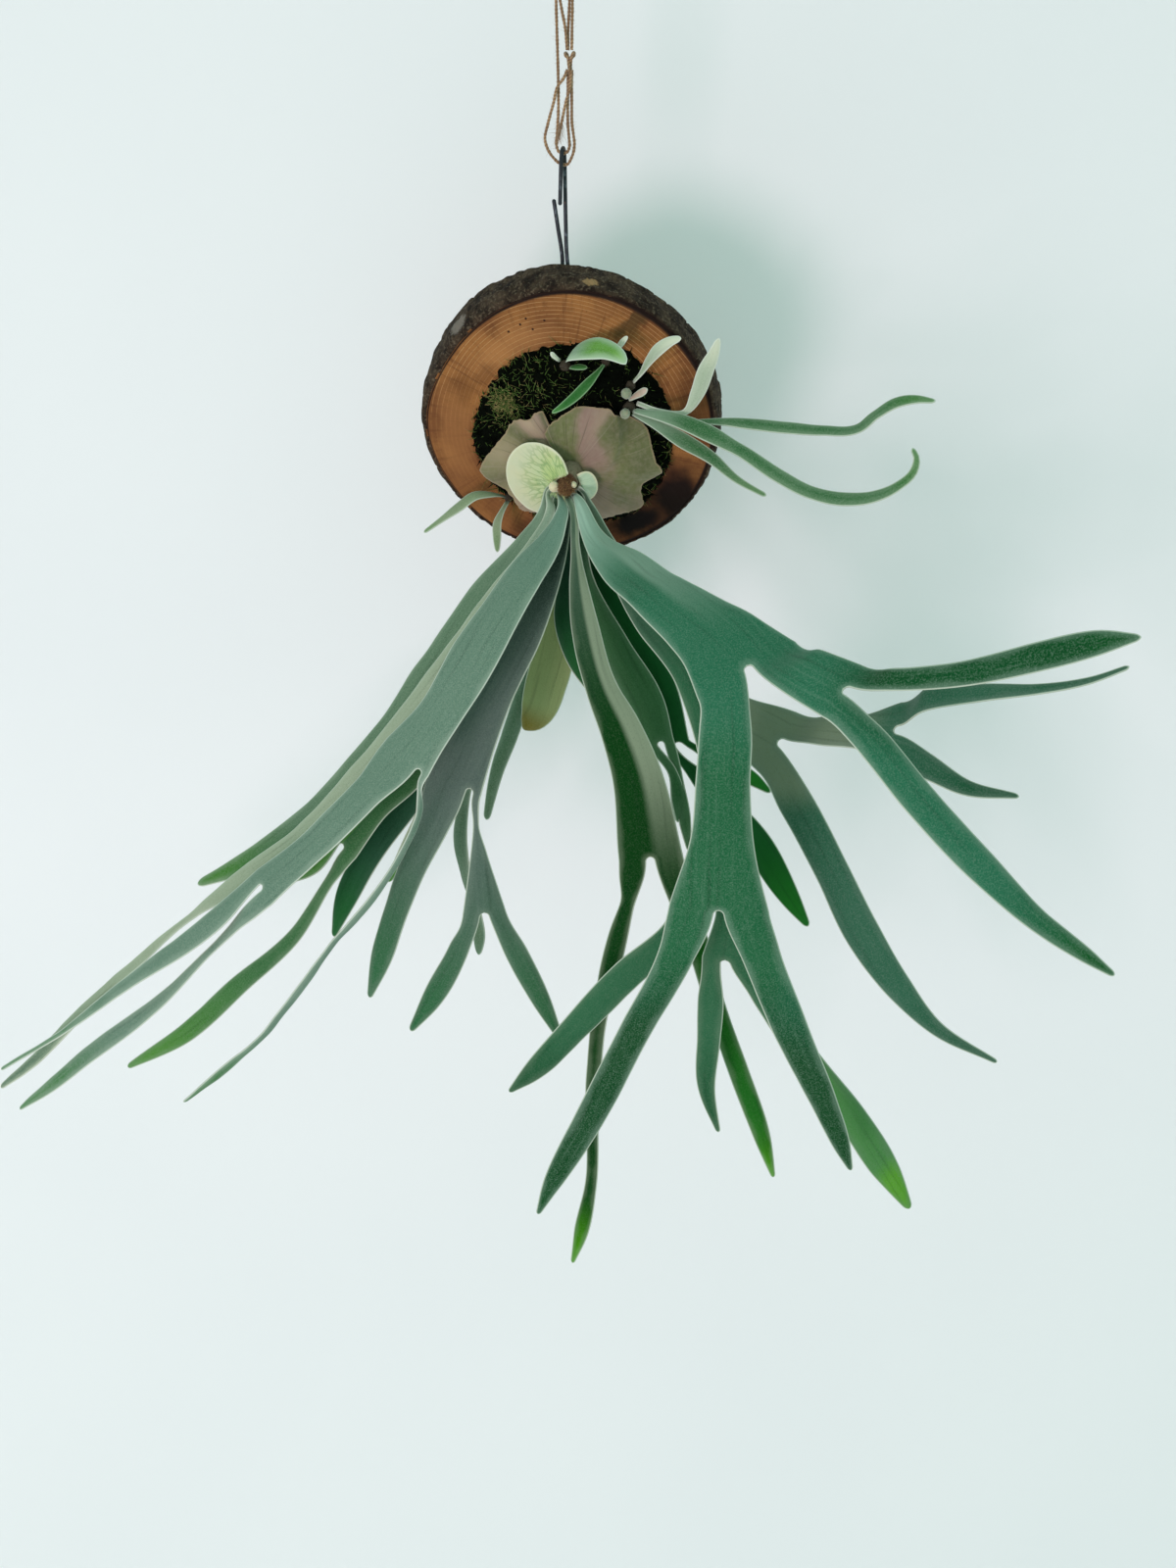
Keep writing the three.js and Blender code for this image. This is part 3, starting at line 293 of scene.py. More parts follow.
# %% [markdown]
# ## Tools for finishes
#
# A finish is a small tree of nodes that ends in one shader. Colours are written as they look on screen and
# turned to linear light by one function. Patterns read a place in millimetres, either on the whole object
# or along a blade or cord, so a noise of scale 1 / size has features of that size in millimetres.

# %% Colour, nodes and a new finish
def colour(code):
    """A hex colour of the screen (sRGB) as the linear value that a socket takes."""
    screen = np.array([int(code[k:k + 2], 16) for k in (1, 3, 5)]) / 255
    linear = np.where(screen <= 0.04045, screen / 12.92, ((screen + 0.055) / 1.055) ** 2.4)
    return (*linear, 1.0)


def add(tree, kind, inputs=(), output=None, **settings):
    """Adds a node: its settings, then its inputs by name or number, each a value or an output to link."""
    node = tree.nodes.new("ShaderNode" + kind)
    for key, value in settings.items():
        setattr(node, key, value)
    for key, value in dict(inputs).items():
        socket = node.inputs[key] if isinstance(key, int) else next(
            s for s in node.inputs if s.enabled and s.name == key)
        if isinstance(value, bpy.types.NodeSocket):
            tree.links.new(value, socket)
        else:
            socket.default_value = colour(value) if isinstance(value, str) else value
    return node.outputs[output] if output else next(s for s in node.outputs if s.enabled)


def new_finish(name, roughness, metallic=0.0):
    """A finish to fill in: the material, a function that adds a node to it, and its shader."""
    finish = bpy.data.materials.new(name)
    finish.use_nodes = True
    shader = finish.node_tree.nodes["Principled BSDF"]
    shader.inputs["Roughness"].default_value = roughness
    shader.inputs["Metallic"].default_value = metallic
    return finish, functools.partial(add, finish.node_tree), shader


def ended(shader, base, bump=None, height=0.1):
    """Links the last colour, and the last bump with its height in millimetres, to the shader."""
    tree = shader.id_data
    tree.links.new(base, shader.inputs["Base Color"])
    if bump is not None:
        normal = add(tree, "Bump", {"Height": bump, "Distance": height * MM, "Strength": 1.0})
        tree.links.new(normal, shader.inputs["Normal"])


def place_in_mm(put):
    """Where a point of the object is, in millimetres."""
    return put("VectorMath", {"Vector": put("TexCoord", output="Object"), "Scale": 1 / MM}, operation="SCALE")


COLOURS = {"data_type": "RGBA"}
SMOOTH = {"interpolation_type": "SMOOTHSTEP"}


def soft_spot(put, place, middle, radii, strength, full, none, turn=0.0, ragged=None):
    """How much of a spot is at a place: its strength within full * radii, and from there less, to 0 at none.

    A ragged spot has a noise added to its distance, which is counted in radii."""
    moved = put("Mapping", {"Vector": place, "Location": tuple(middle), "Rotation": (0, 0, turn),
                            "Scale": tuple(map(float, radii))}, vector_type="TEXTURE")
    reach = put("VectorMath", {0: moved}, operation="LENGTH", output="Value")
    if ragged:
        reach = put("Math", {0: reach, 1: ragged}, operation="ADD")
    return put("MapRange", {"Value": reach, "From Min": none, "From Max": full, "To Max": strength}, **SMOOTH)


def coat(put, tone, value, low, high, shade, most=1.0):
    """Lays a colour over a tone as a value goes from low to high, smoothly, up to a share of most."""
    share = put("MapRange", {"Value": value, "From Min": low, "From Max": high, "To Max": most}, **SMOOTH)
    return put("Mix", {"Factor": share, "A": tone, "B": shade}, **COLOURS)


# %% [markdown]
# ## Twine
#
# The slice hangs from jute twine of about 2 mm. Its two ends meet in a knot: one turn of it carries the
# wire hook, a shorter turn only goes over the nail above, a slack bight hangs through the hook, and one cut
# end hangs down frayed. Jute is two plies laid round each other, so the section of each strand is a round
# with two lobes that turn once every few millimetres.

# %% The finish of jute
def jute_finish(name, light, dark):
    """Bast fibres of jute, spun and laid: dull, straw brown, with painted shade darker in the groove between
    the plies.
    """
    finish, put, shader = new_finish(name, 0.9)
    lie = put("Attribute", attribute_name="lie")
    fibres = put("TexNoise", {"Vector": lie, "Scale": 1 / 0.5, "Detail": 3.0})
    patches = put("TexNoise", {"Vector": place_in_mm(put), "Scale": 1 / 9, "Detail": 2.0})
    tone = put("Mix", {"Factor": fibres, "A": dark, "B": light}, **COLOURS)
    tone = coat(put, tone, patches, 0.45, 0.65, light)
    # Painted shade: the groove between the plies is darkened towards the dark colour.
    groove = put("Attribute", attribute_name="groove")
    ended(shader, put("Mix", {"Factor": groove, "A": tone, "B": dark}, **COLOURS), fibres, 0.15)
    shader.inputs["Sheen Weight"].default_value = 0.3
    return finish


jute = jute_finish("jute_twine", "#b08f68", "#6b4c33")

# %% Routes of the twine and the knot
TWINE = 2.0
KNOT_AT = FACE + [-0.2, 0, 212]
TWINE_ROUTES = {
    "tight_turn": [
        [-1.5, 1.2, 217.5], [-1.3, 1.2, 228], [-0.6, 1.2, 240], [-0.2, 1.2, 250], [-0.1, 1.2, 258.8],
        [-1.4, 1.2, 261.8], [-4.3, 1.2, 263], [-7.2, 1.2, 261.8], [-8.5, 1.2, 258.8], [-8.6, 1, 246],
        [-8.1, 0.8, 225], [-7.5, 0.6, 198], [-7.6, 0.4, 182], [-8.4, 0.2, 170], [-8.6, 0, 162.8],
        [-7.4, 0, 160], [-4.6, 0, 158.8], [-1.8, 0, 160], [-0.6, 0, 162.8], [-0.9, 0.3, 168],
        [-1.6, 0.7, 175.5], [-1.7, 1, 184], [-1.6, 1.2, 196], [-1.5, 1.2, 206.5]],
    "short_turn": [
        [-1.5, -1.2, 217.5], [-2.6, -1.2, 229], [-5, -1.2, 241], [-6.8, -1.2, 251], [-7, -1.2, 258.9],
        [-5.8, -1.2, 261.8], [-2.9, -1.2, 263], [0, -1.2, 261.8], [1.2, -1.2, 258.9], [1.8, -1.2, 247],
        [1.5, -0.8, 232], [1.1, 0, 217.5]],
    "slack_bight": [
        [-1.5, -1.2, 206.5], [-3.5, -2.2, 202], [-7.4, -2.6, 197], [-10, -2.4, 188], [-13.8, -1.8, 176],
        [-15.8, -1.4, 167], [-14, -1, 161], [-10.8, -0.6, 156.5], [-6.4, 0, 153], [-2.4, 0.2, 152.4],
        [1, 0, 157], [2.6, 0, 164], [1.9, 0.4, 170], [1, 0.8, 176], [0.8, 1.1, 184], [0.8, 1.2, 196],
        [0.9, 1.2, 206.5]],
    "frayed_end": [
        [0.9, -1.2, 206.5], [0.2, -1.5, 197], [-2.4, -1.9, 188], [-5, -2.2, 177], [-6.8, -2.6, 168]],
}
LAY = 4.2           # length of one full turn of the plies
PLY_DEPTH = 0.24    # how deep the groove between the plies is, as a share of the radius


def twine_strand(name, route, nodes, step=0.45, taper=0.0):
    """Two plies: radius = R * (1 - depth * |cos(a - 2 pi s / lay)| ** 3), thinner at a frayed end."""
    line = route_line(route, step)

    def radius(s, a):
        lobes = np.abs(np.cos(a - 2 * math.pi * s / LAY)) ** 3
        lumps = 1 + 0.05 * np.sin(s / 2.3) + 0.04 * np.sin(s / 0.9 + 1)
        thinned = 1 - taper * smoothstep(s, s.max() - 12, s.max())
        return TWINE / 2 * (1 - PLY_DEPTH * lobes) * lumps * thinned
    points, faces = tube(line, 16, radius)
    length = np.linalg.norm(np.diff(line, axis=0), axis=1).sum()
    around = np.tile(np.linspace(0, 2 * math.pi, 16, endpoint=False), len(line))
    along = np.repeat(np.linspace(0, length, len(line)), 16)
    turned = around - 2 * math.pi * along / LAY
    # How deep in the groove between the plies a point lies, which the finish darkens as painted shade.
    groove = np.concatenate([[0], np.abs(np.cos(turned)) ** 4, [0]])
    lie = np.stack([np.sin(turned), np.cos(turned), along / 6], -1)
    lie = np.vstack([lie[0], lie, lie[-1]])
    return piece(name, points, faces, jute, "twine", nodes, groove=groove, lie=lie), line, length


# %% The strands
strands = {}
for name, route in TWINE_ROUTES.items():
    strands[name] = twine_strand("jute_" + name, np.array(route) + FACE, ["twine_" + name],
                                 taper=0.5 if name == "frayed_end" else 0.0)

# %% [markdown]
# ### The knot and the loose fibres
#
# The knot is the strands' own twine, pulled tight, so it is made as a cord on a trefoil, the curve of an
# overhand knot, drawn out along the strands. Jute is hairy: short fibres stand out of it all along, and the
# cut end has opened into a tuft.

# %% Knot and fibres
KNOT_HALF_WIDE, KNOT_HALF_DEEP, KNOT_HALF_HIGH = 2.75, 2.5, 6.9
TUFT_COUNT = 90

turn = np.linspace(0, 2 * math.pi, 150, endpoint=False)
trefoil = np.stack([KNOT_HALF_WIDE * (np.sin(turn) + 0.55 * np.sin(2 * turn)) / 1.35,
                    KNOT_HALF_DEEP * np.sin(3 * turn) / 1.2,
                    KNOT_HALF_HIGH * (np.cos(turn) - 0.75 * np.cos(2 * turn)) / 1.6], -1)
knot, _, _ = twine_strand("jute_overhand_knot", trefoil + KNOT_AT, ["twine_knot"])

draw = np.random.default_rng(7)
fuzz_lines = np.concatenate([line[::3] for _, line, _ in strands.values()])
fuzz_roots = np.repeat(fuzz_lines, 2, axis=0)
fuzz_ways = unit(draw.normal(size=fuzz_roots.shape) * [1, 1, 0.8])
fuzz_roots = fuzz_roots + fuzz_ways * TWINE * 0.4
fuzz = threads(fuzz_roots, unit(fuzz_ways + [0, 0, 0.4]), 0.5 * unit(draw.normal(size=fuzz_roots.shape)),
               draw.uniform(0.8, 3.2, len(fuzz_roots)), 0.06, rows=4)
tuft_line = strands["frayed_end"][1]
tuft_roots = tuft_line[-draw.integers(4, 26, TUFT_COUNT)] + draw.normal(scale=0.35, size=(TUFT_COUNT, 3))
tuft_ways = unit(tuft_line[-1] - tuft_line[-8] + draw.normal(scale=0.9, size=(TUFT_COUNT, 3)))
tuft = threads(tuft_roots, tuft_ways, 0.3 * draw.normal(size=(TUFT_COUNT, 3)),
               draw.uniform(4, 10, TUFT_COUNT), 0.12)
fibre_points, fibre_faces, _ = joined(fuzz, tuft)
fibres = piece("jute_fibres", fibre_points, fibre_faces, jute, "twine",
               groove=np.zeros(len(fibre_points)), lie=fibre_points)

# %% [markdown]
# ### What kind of cord it is
#
# Each strand is a limp cord 2 mm thick, and its length is printed. The turns are taut and the
# bight and the cut end hang.

# %% The cords' lengths
for name, (strand, line, length) in strands.items():
    print(name, "is", round(length), "mm long")

# %% [markdown]
# ## Backdrop and light
#
# The fern hangs in front of white cloth, so a white sweep stands close behind it: wall, wide curve and
# floor in one sheet, which leaves no line behind the fronds. Its back is clear, so that the fern is also
# seen from behind. One large lamp low on the left gives the soft shadow up and to the right. The rest of
# the light comes from all around and is a little green, so shade turns mint.

# %% Backdrop
WALL_BEHIND, FLOOR_BELOW, SWEEP, REACH = 190.0, -1550.0, 800.0, 6000.0


def sweep_sheet(sides=48):
    """A profile (wall, quarter circle, floor) in Y and Z, carried straight along X, facing the fern."""
    bend = np.linspace(0, math.pi / 2, sides)
    profile = np.stack([WALL_BEHIND - SWEEP + SWEEP * np.cos(bend),
                        FLOOR_BELOW + SWEEP - SWEEP * np.sin(bend)], 1)
    profile = np.vstack([[WALL_BEHIND, REACH], profile, [-REACH, FLOOR_BELOW]])
    x = np.array([-REACH, REACH])
    grid = np.stack([np.broadcast_to(x, (len(profile), 2)),
                     *(profile[:, k, None] + 0 * x for k in (0, 1))], -1)
    return grid.reshape(-1, 3), grid_quads(np.arange(grid.size // 3).reshape(len(profile), 2))[:, ::-1]


def backdrop_finish():
    """White cotton cloth, matt, drawn smooth: only a faint broad unevenness stays. Its back is clear."""
    finish, put, shader = new_finish("white_backdrop_cloth", 0.95)
    uneven = put("TexNoise", {"Vector": place_in_mm(put), "Scale": 1 / 400, "Detail": 2.0})
    ended(shader, put("Mix", {"Factor": uneven, "A": "#e6eaeb", "B": "#eef1f1"}, **COLOURS))
    shown = put("Math", {0: 1.0, 1: put("NewGeometry", output="Backfacing")}, operation="SUBTRACT")
    finish.node_tree.links.new(shown, shader.inputs["Alpha"])
    return finish


sweep_points, sweep_quads = sweep_sheet()
sweep_mesh = bpy.data.meshes.new("backdrop")
sweep_mesh.from_pydata((sweep_points * MM).tolist(), [], sweep_quads.tolist())
sweep_mesh.polygons.foreach_set("use_smooth", np.ones(len(sweep_quads), bool))
sweep_mesh.materials.append(backdrop_finish())
backdrop = bpy.data.objects.new("backdrop", sweep_mesh)
bpy.context.scene.collection.objects.link(backdrop)
print("backdrop", len(sweep_quads), "quads")

# %% Light
LAMP_FROM_FACE = np.array([-760.0, -2700.0, -470.0])
LAMP_SIZE, LAMP_POWER = 0.85, 33.0

lamp_data = bpy.data.lights.new("soft_lamp", "AREA")
lamp_data.shape = "DISK"
lamp_data.size = LAMP_SIZE
lamp_data.energy = LAMP_POWER
lamp_data.color = colour("#ffd9ea")[:3]
lamp = bpy.data.objects.new("soft_lamp", lamp_data)
lamp.location = (FACE + LAMP_FROM_FACE) * MM
lamp.rotation_euler = Vector(-LAMP_FROM_FACE).to_track_quat("-Z", "Y").to_euler()
bpy.context.scene.collection.objects.link(lamp)

world = bpy.data.worlds.new("soft_room")
world.use_nodes = True
sky = world.node_tree.nodes["Background"]
sky.inputs["Color"].default_value = colour("#cbe7de")
sky.inputs["Strength"].default_value = 0.98
bpy.context.scene.world = world
print("lamp at", [round(x, 2) for x in lamp.location])

# %% [markdown]
# ## Wire and screw
#
# One piece of black annealed wire, 2.6 mm thick, was bent by hand: a hook that goes over the twine at the
# top, then down behind the slice, once round a screw in its back, and up again to a free end. Drawn wire is
# smooth, so a plain round section carried along the route is enough. Its cut ends are rounded a little. The
# screw is turned, with a cross cut into its domed head.

# %% Wire
WIRE = 2.6
SCREW_RIGHT, SCREW_UP = -4.6, 58.0
SCREW_AT = on_slice(SCREW_RIGHT, -SLICE_THICKNESS - 2.2, SCREW_UP)
SCREW_SHANK, SCREW_HEAD, SCREW_OUT = 4.0, 9.0, 4.4


def around_screw(angle):
    """A point on the wire's turn round the screw's shank."""
    reach = SCREW_SHANK / 2 + WIRE / 2 + 0.6
    return SCREW_AT - FACE + reach * (math.cos(angle) * RIGHT + math.sin(angle) * UP)


WIRE_ROUTE = [
    [-6.2, -3.4, 128.5], [-5.7, -3.4, 143], [-5.2, -3.2, 156], [-4.9, -2.2, 160.6], [-4.6, 0, 162],
    [-4.4, 2.2, 160.6], [-4.3, 3.2, 156], [-4.2, 4.2, 140], [-4.1, 5.4, 118], [-3.6, 7, 96], [-1.2, 9.8, 76],
    *(around_screw(angle) for angle in (0.1, -0.8, -1.57, -2.4, -3.2)),
    [-8, 9.8, 76], [-6.8, 7.4, 96], [-9, 4.4, 115], [-11.2, 2, 132]]


def wire_finish():
    """Annealed steel wire: a thin black oxide skin, half matt, rubbed to grey and browned in spots."""
    finish, put, shader = new_finish("black_annealed_wire", 0.42, 0.55)
    place = place_in_mm(put)
    rubbed = put("TexNoise", {"Vector": place, "Scale": 1 / 5, "Detail": 4.0})
    tone = coat(put, "#23282d", rubbed, 0.48, 0.72, "#59636b")
    spots = put("TexNoise", {"Vector": place, "Scale": 1 / 2.2, "Detail": 2.0})
    ended(shader, coat(put, tone, spots, 0.66, 0.74, "#5b4334"), rubbed, 0.05)
    return finish


def wire_radius(s, a):
    """Round section, rounded off over the last 0.7 mm of both ends."""
    return WIRE / 2 * np.sqrt(np.clip((np.minimum(s, s.max() - s) + 0.12) / 0.7, 0, 1)) + 0 * a


wire = tube(route_line(np.array(WIRE_ROUTE) + FACE, 0.8), 20, wire_radius)
piece("annealed_wire", *wire, wire_finish(), "wire", ["hanger_wire"])

# %% Screw
HEAD_HEIGHT, IN_WOOD, CROSS_WIDTH, CROSS_REACH, CROSS_DEPTH = 2.6, 18.0, 1.3, 5.2, 1.5
THREAD_PITCH = 1.8


def screw_surface(sides=96):
    """A turned profile of radius over depth, with a thread wave on the shank and a cross in the head."""
    neck, point = -SLICE_THICKNESS - SCREW_OUT, -SLICE_THICKNESS + IN_WOOD
    tip = neck - HEAD_HEIGHT
    head = np.linspace(0.06, 1, 22)
    shank = np.linspace(neck, point, 60)
    radius = np.concatenate([SCREW_HEAD / 2 * head, [SCREW_HEAD / 2, SCREW_HEAD / 2],
                             SCREW_SHANK / 2 * np.minimum(1, (point - shank) / 5 + 0.05)])
    depth = np.concatenate([tip + 1.1 * head**2, [tip + 1.5, neck], shank])
    angle = np.linspace(0, 2 * math.pi, sides, endpoint=False)
    r = radius[:, None] + 0 * angle
    thread = 0.22 * np.cos(2 * math.pi * depth[:, None] / THREAD_PITCH + angle)
    r = r + thread * (depth[:, None] > neck + 0.5)
    x, y = r * np.cos(angle), r * np.sin(angle)
    arm = (np.minimum(abs(x), abs(y)) < CROSS_WIDTH / 2) & (np.maximum(abs(x), abs(y)) < CROSS_REACH / 2)
    sunk = CROSS_DEPTH * arm * (np.arange(len(radius)) < len(head))[:, None]
    return closed_rings(on_slice(SCREW_RIGHT, tip + CROSS_DEPTH, SCREW_UP),
                        on_slice(SCREW_RIGHT + x, depth[:, None] + sunk, SCREW_UP + y),
                        on_slice(SCREW_RIGHT, point, SCREW_UP))


def zinc_finish():
    """Zinc plated steel: silver grey, slightly blue, dulled by damp in fine blotches."""
    finish, put, shader = new_finish("zinc_plated_steel", 0.38, 1.0)
    dull = put("TexNoise", {"Vector": place_in_mm(put), "Scale": 1 / 1.6, "Detail": 3.0})
    ended(shader, put("Mix", {"Factor": dull, "A": "#74797e", "B": "#a9adb1"}, **COLOURS), dull, 0.03)
    return finish


piece("cross_head_screw", *screw_surface(), zinc_finish(), "screw", ["hanger_screw"])

# %% [markdown]
# ## The slice of log
#
# A trunk of about 20 cm was sawn across, 3 cm thick. Its face shows thin pale growth rings round a pith
# left of the middle, some worm holes, and stains where water ran. A dark line parts the wood from the bark,
# which is about 3 mm thick, grey-brown, and split along the trunk. The mesh is one stack of rings: out over
# the face, round the edge, over the bark and in across the back. Height comes from formulas, the rest from
# the finish.

# %% Shape of the slice
SLICE_RIGHT, SLICE_UP, SLICE_MEAN = -1.0, -12.0, 98.0
SLICE_RADII = [98, 99, 99, 97, 94, 95, 102, 101, 100, 98, 96, 97]
BACK_FLARE = [1, 0, 0, 4, 8, 8, 4, 2, 0, 0, 0, 0]
BARK_RIDGE, BARK_THICKNESS = 0.22, 2.8
SEAM = [1.2, 2.1, 2.1, 1.5, 1.0, 0.6, 0.6, 0.6, 0.8, 1.0, 1.6, 1.4]
PITH_RIGHT, PITH_UP = -7.0, -15.0


def slice_surface(sides=480):
    """Rings of radius outline + flare * sqrt(depth) - inset(depth) + ridges, shrunk on both faces.

    Height off the face: fine saw marks on wood, a groove at the bark's inner edge, crumbs outside it."""
    angle = np.linspace(0, 2 * math.pi, sides, endpoint=False)[None, :]
    share = np.concatenate([np.linspace(0.02, 0.9, 44), np.linspace(0.91, 0.995, 16)])[:, None]
    depth_side = np.concatenate([np.linspace(0.25, 2, 5), np.linspace(3, 28, 30), [28.8, 29.5]])[:, None]
    share_back = np.linspace(0.985, 0.03, 26)[:, None]
    rim = outline(SLICE_RADII, angle)
    flare = outline(BACK_FLARE, angle)

    def edge(depth):
        ridges = BARK_RIDGE * (np.sin(13 * angle + depth / 6) + np.sin(29 * angle - depth / 9))
        rough = np.interp(depth, [0, 2, 28, 30], [0.4, 1, 1, 0.4])
        inset = np.interp(depth, [0, 2, 11, 20, 28, 30], [2.2, 0.4, -0.6, 0, 0.2, 1.6])
        return rim + flare * np.sqrt(depth / SLICE_THICKNESS) - inset + rough * ridges
    spread = np.stack([0 * depth_side + SLICE_MEAN * np.cos(angle),
                       0 * depth_side + SLICE_MEAN * np.sin(angle),
                       0.28 * depth_side + 0 * angle], -1)
    crack = np.abs(relief(spread, 26, 11, 2))
    crumb = relief(spread * [1, 1, 2.6], 7, 12, 2)
    side = edge(depth_side) - 0.7 * np.exp(-(crack / 0.12) ** 2) + 0.18 * crumb
    radius = np.vstack([share * edge(0.0), side, share_back * edge(SLICE_THICKNESS)])
    depth = np.vstack([0 * share + 0 * angle, depth_side + 0 * angle,
                       SLICE_THICKNESS + 0 * share_back + 0 * angle])
    inside = rim - radius
    x, y = radius * np.cos(angle), radius * np.sin(angle)
    flat = np.stack([x, y], -1)
    saw = 0.09 * np.sin(flat @ [0.86, 0.5] * 1.9 + 1.5 * relief(flat, 60, 3, 0))
    saw += 0.06 * relief(flat, 5, 4, 1)
    groove = -1.1 * np.exp(-((inside - BARK_THICKNESS - 0.4 * np.sin(9 * angle)) / 0.7) ** 2)
    bark = smoothstep(-inside, -BARK_THICKNESS - 0.8, -BARK_THICKNESS + 0.8)
    off = -depth
    front, back = slice(0, len(share)), slice(len(share) + len(depth_side), None)
    off[front] += (saw * (1 - bark) + groove + bark * (0.25 * relief(flat, 4, 5, 2) - 0.35))[front]
    off[back] -= (saw * (1 - bark) + groove * 0.6 + bark * 0.2 * relief(flat, 4, 6, 2) - 0.1)[back]
    bark[len(share):len(share) + len(depth_side)] = 1
    seam = np.exp(-((inside - BARK_THICKNESS - 0.6) / outline(SEAM, angle)) ** 4) * (off > -2)
    return x, y, off, bark, seam


x, y, off, bark, seam = slice_surface()
slice_rings = on_slice(SLICE_RIGHT + x, off, SLICE_UP + y)
slice_points, slice_faces = closed_rings(on_slice(SLICE_RIGHT, 0, SLICE_UP), slice_rings,
                                         on_slice(SLICE_RIGHT, -SLICE_THICKNESS, SLICE_UP))
from_pith = np.hypot(x + SLICE_RIGHT - PITH_RIGHT, y + SLICE_UP - PITH_UP)
round_pith = np.arctan2(y + SLICE_UP - PITH_UP, x + SLICE_RIGHT - PITH_RIGHT)
pith_lie = np.stack([from_pith, 40 * np.cos(round_pith), 40 * np.sin(round_pith)], -1).reshape(-1, 3)
slice_lie = np.stack([SLICE_RIGHT + x, SLICE_UP + y, off], -1).reshape(-1, 3)
ends = [[SLICE_RIGHT, SLICE_UP, 0], [SLICE_RIGHT, SLICE_UP, -SLICE_THICKNESS]]
print("slice rings", slice_rings.shape)

# %% [markdown]
# ### Sawn wood and bark
#
# The wood is an orange brown hardwood such as alder, sawn and oiled by damp moss. Rings are thin light
# lines, about 3 mm apart, which wander a little, so they come from the sine of the distance to the pith,
# shifted by noise. Fine dark rays run across them. The stains and the worm holes are put where they are on
# the real face. Bark is dull and mottled, warmer in its cracks.

# %% Finishes of the slice
# Marks on the face: water stains, and first a dark olive brown streak at the upper right.
FACE_MARKS = [((46, 65), (26, 6), 0.75, "#43341a", 0.7), ((-74, 12), (10, 16), 0.4, "#5c3614", -0.5),
          ((84, 2), (15, 34), 0.65, "#42200f", 0.2), ((62, -60), (46, 34), 0.85, "#381c11", -0.6),
          ((-80, -20), (14, 40), 0.3, "#b9824c", 0), ((-36, 44), (34, 14), 0.35, "#b98450", 0.5),
          ((-56, 26), (12, 8), 0.4, "#5a3517", 0.9), ((0, -92), (50, 14), 0.6, "#3d1a0c", 0),
          ((40, -82), (20, 11), 1.0, "#0c0403", 0.3),
          ((68, -60), (15, 20), 0.95, "#120604", -0.5)]
BARK_PATCHES = [((-74.0, 56.0, -9.0), (9.0, 9.0, 8.0), 0.6, "#8d857c"),
                ((-64.0, 62.0, -15.0), (5.0, 5.0, 6.0), 0.9, "#1c130d"),
                ((16.0, 86.0, -7.0), (6.0, 5.0, 4.0), 0.8, "#a2845c")]
WORM_HOLES = [(-30, 60), (-26, 64), (-22, 57), (-38, 55), (-14, 63)]
RING_GAP = 3.1
TEAR = 14.0       # how far noise pulls at the edges of the stains


def wood_finish():
    """Sawn hardwood end grain: matt, orange brown, with light rings, fine dark pores and water stains."""
    finish, put, shader = new_finish("sawn_wood", 0.72)
    pith = put("Attribute", attribute_name="pith", output="Vector")
    lie = put("Attribute", attribute_name="lie", output="Vector")
    distance = put("SeparateXYZ", {"Vector": pith}, output="X")
    wander = put("TexNoise", {"Vector": pith, "Scale": 1 / 60, "Detail": 1.0, "Roughness": 0.4})
    shifted = put("Math", {0: wander, 1: 12.0, 2: distance}, operation="MULTIPLY_ADD")
    rings = put("Math", {0: put("Math", {0: shifted, 1: 2 * math.pi / RING_GAP}, operation="MULTIPLY")},
                operation="SINE")
    line = put("MapRange", {"Value": rings, "From Min": 0.84, "From Max": 0.99, "To Max": 0.75}, **SMOOTH)
    height = put("SeparateXYZ", {"Vector": lie}, output="Y")
    seen = put("MapRange", {"Value": height, "From Min": -20.0, "From Max": 45.0, "To Min": 0.1}, **SMOOTH)
    line = put("Math", {0: line, 1: seen}, operation="MULTIPLY")
    broad = put("TexNoise", {"Vector": lie, "Scale": 1 / 55, "Detail": 2.0})
    tone = coat(put, "#6f4526", broad, 0.36, 0.64, "#996838")
    tone = coat(put, tone, rings, -1.0, 0.8, "#89562a", 0.16)
    tone = put("Mix", {"Factor": line, "A": tone, "B": "#c39864"}, **COLOURS)
    patchy = put("TexNoise", {"Vector": lie, "Scale": 1 / 9, "Detail": 4.0, "Roughness": 0.6})
    tone = coat(put, tone, patchy, 0.5, 0.72, "#583317", 0.4)
    across = put("VectorMath", {0: pith, 1: (0.03, 1.0, 1.0)}, operation="MULTIPLY")
    rays = put("TexNoise", {"Vector": across, "Scale": 1 / 1.1, "Detail": 3.0})
    tone = coat(put, tone, rays, 0.52, 0.75, "#5c351c", 0.6)
    grain = put("TexNoise", {"Vector": lie, "Scale": 1 / 1.3, "Detail": 4.0})
    tone = coat(put, tone, grain, 0.6, 0.72, "#5d3319", 0.6)
    ragged = put("TexNoise", {"Vector": lie, "Scale": 1 / 12, "Detail": 4.0}, output="Color")
    torn = put("VectorMath", {0: ragged, 1: (TEAR, TEAR, 0.0), 2: lie}, operation="MULTIPLY_ADD")
    for (right, up), (wide, high), strength, stain, turn in FACE_MARKS:
        middle = (right + TEAR / 2, up + TEAR / 2, 0)
        share = soft_spot(put, torn, middle, (wide, high, 1000), strength, 0.5, 1.15, turn)
        tone = put("Mix", {"Factor": share, "A": tone, "B": stain}, **COLOURS)
    for right, up in WORM_HOLES:
        reach = put("VectorMath", {0: lie, 1: (right, up, 0.0)}, operation="DISTANCE", output="Value")
        tone = coat(put, tone, reach, 0.95, 0.6, "#2e170c")
    seam = put("Attribute", attribute_name="inner", output="Fac")
    tone = put("Mix", {"Factor": seam, "A": tone, "B": "#1d100c"}, **COLOURS)
    ended(shader, tone, put("Math", {0: grain, 1: line}, operation="ADD"), 0.18)
    shader.inputs["Specular IOR Level"].default_value = 0.15
    return finish


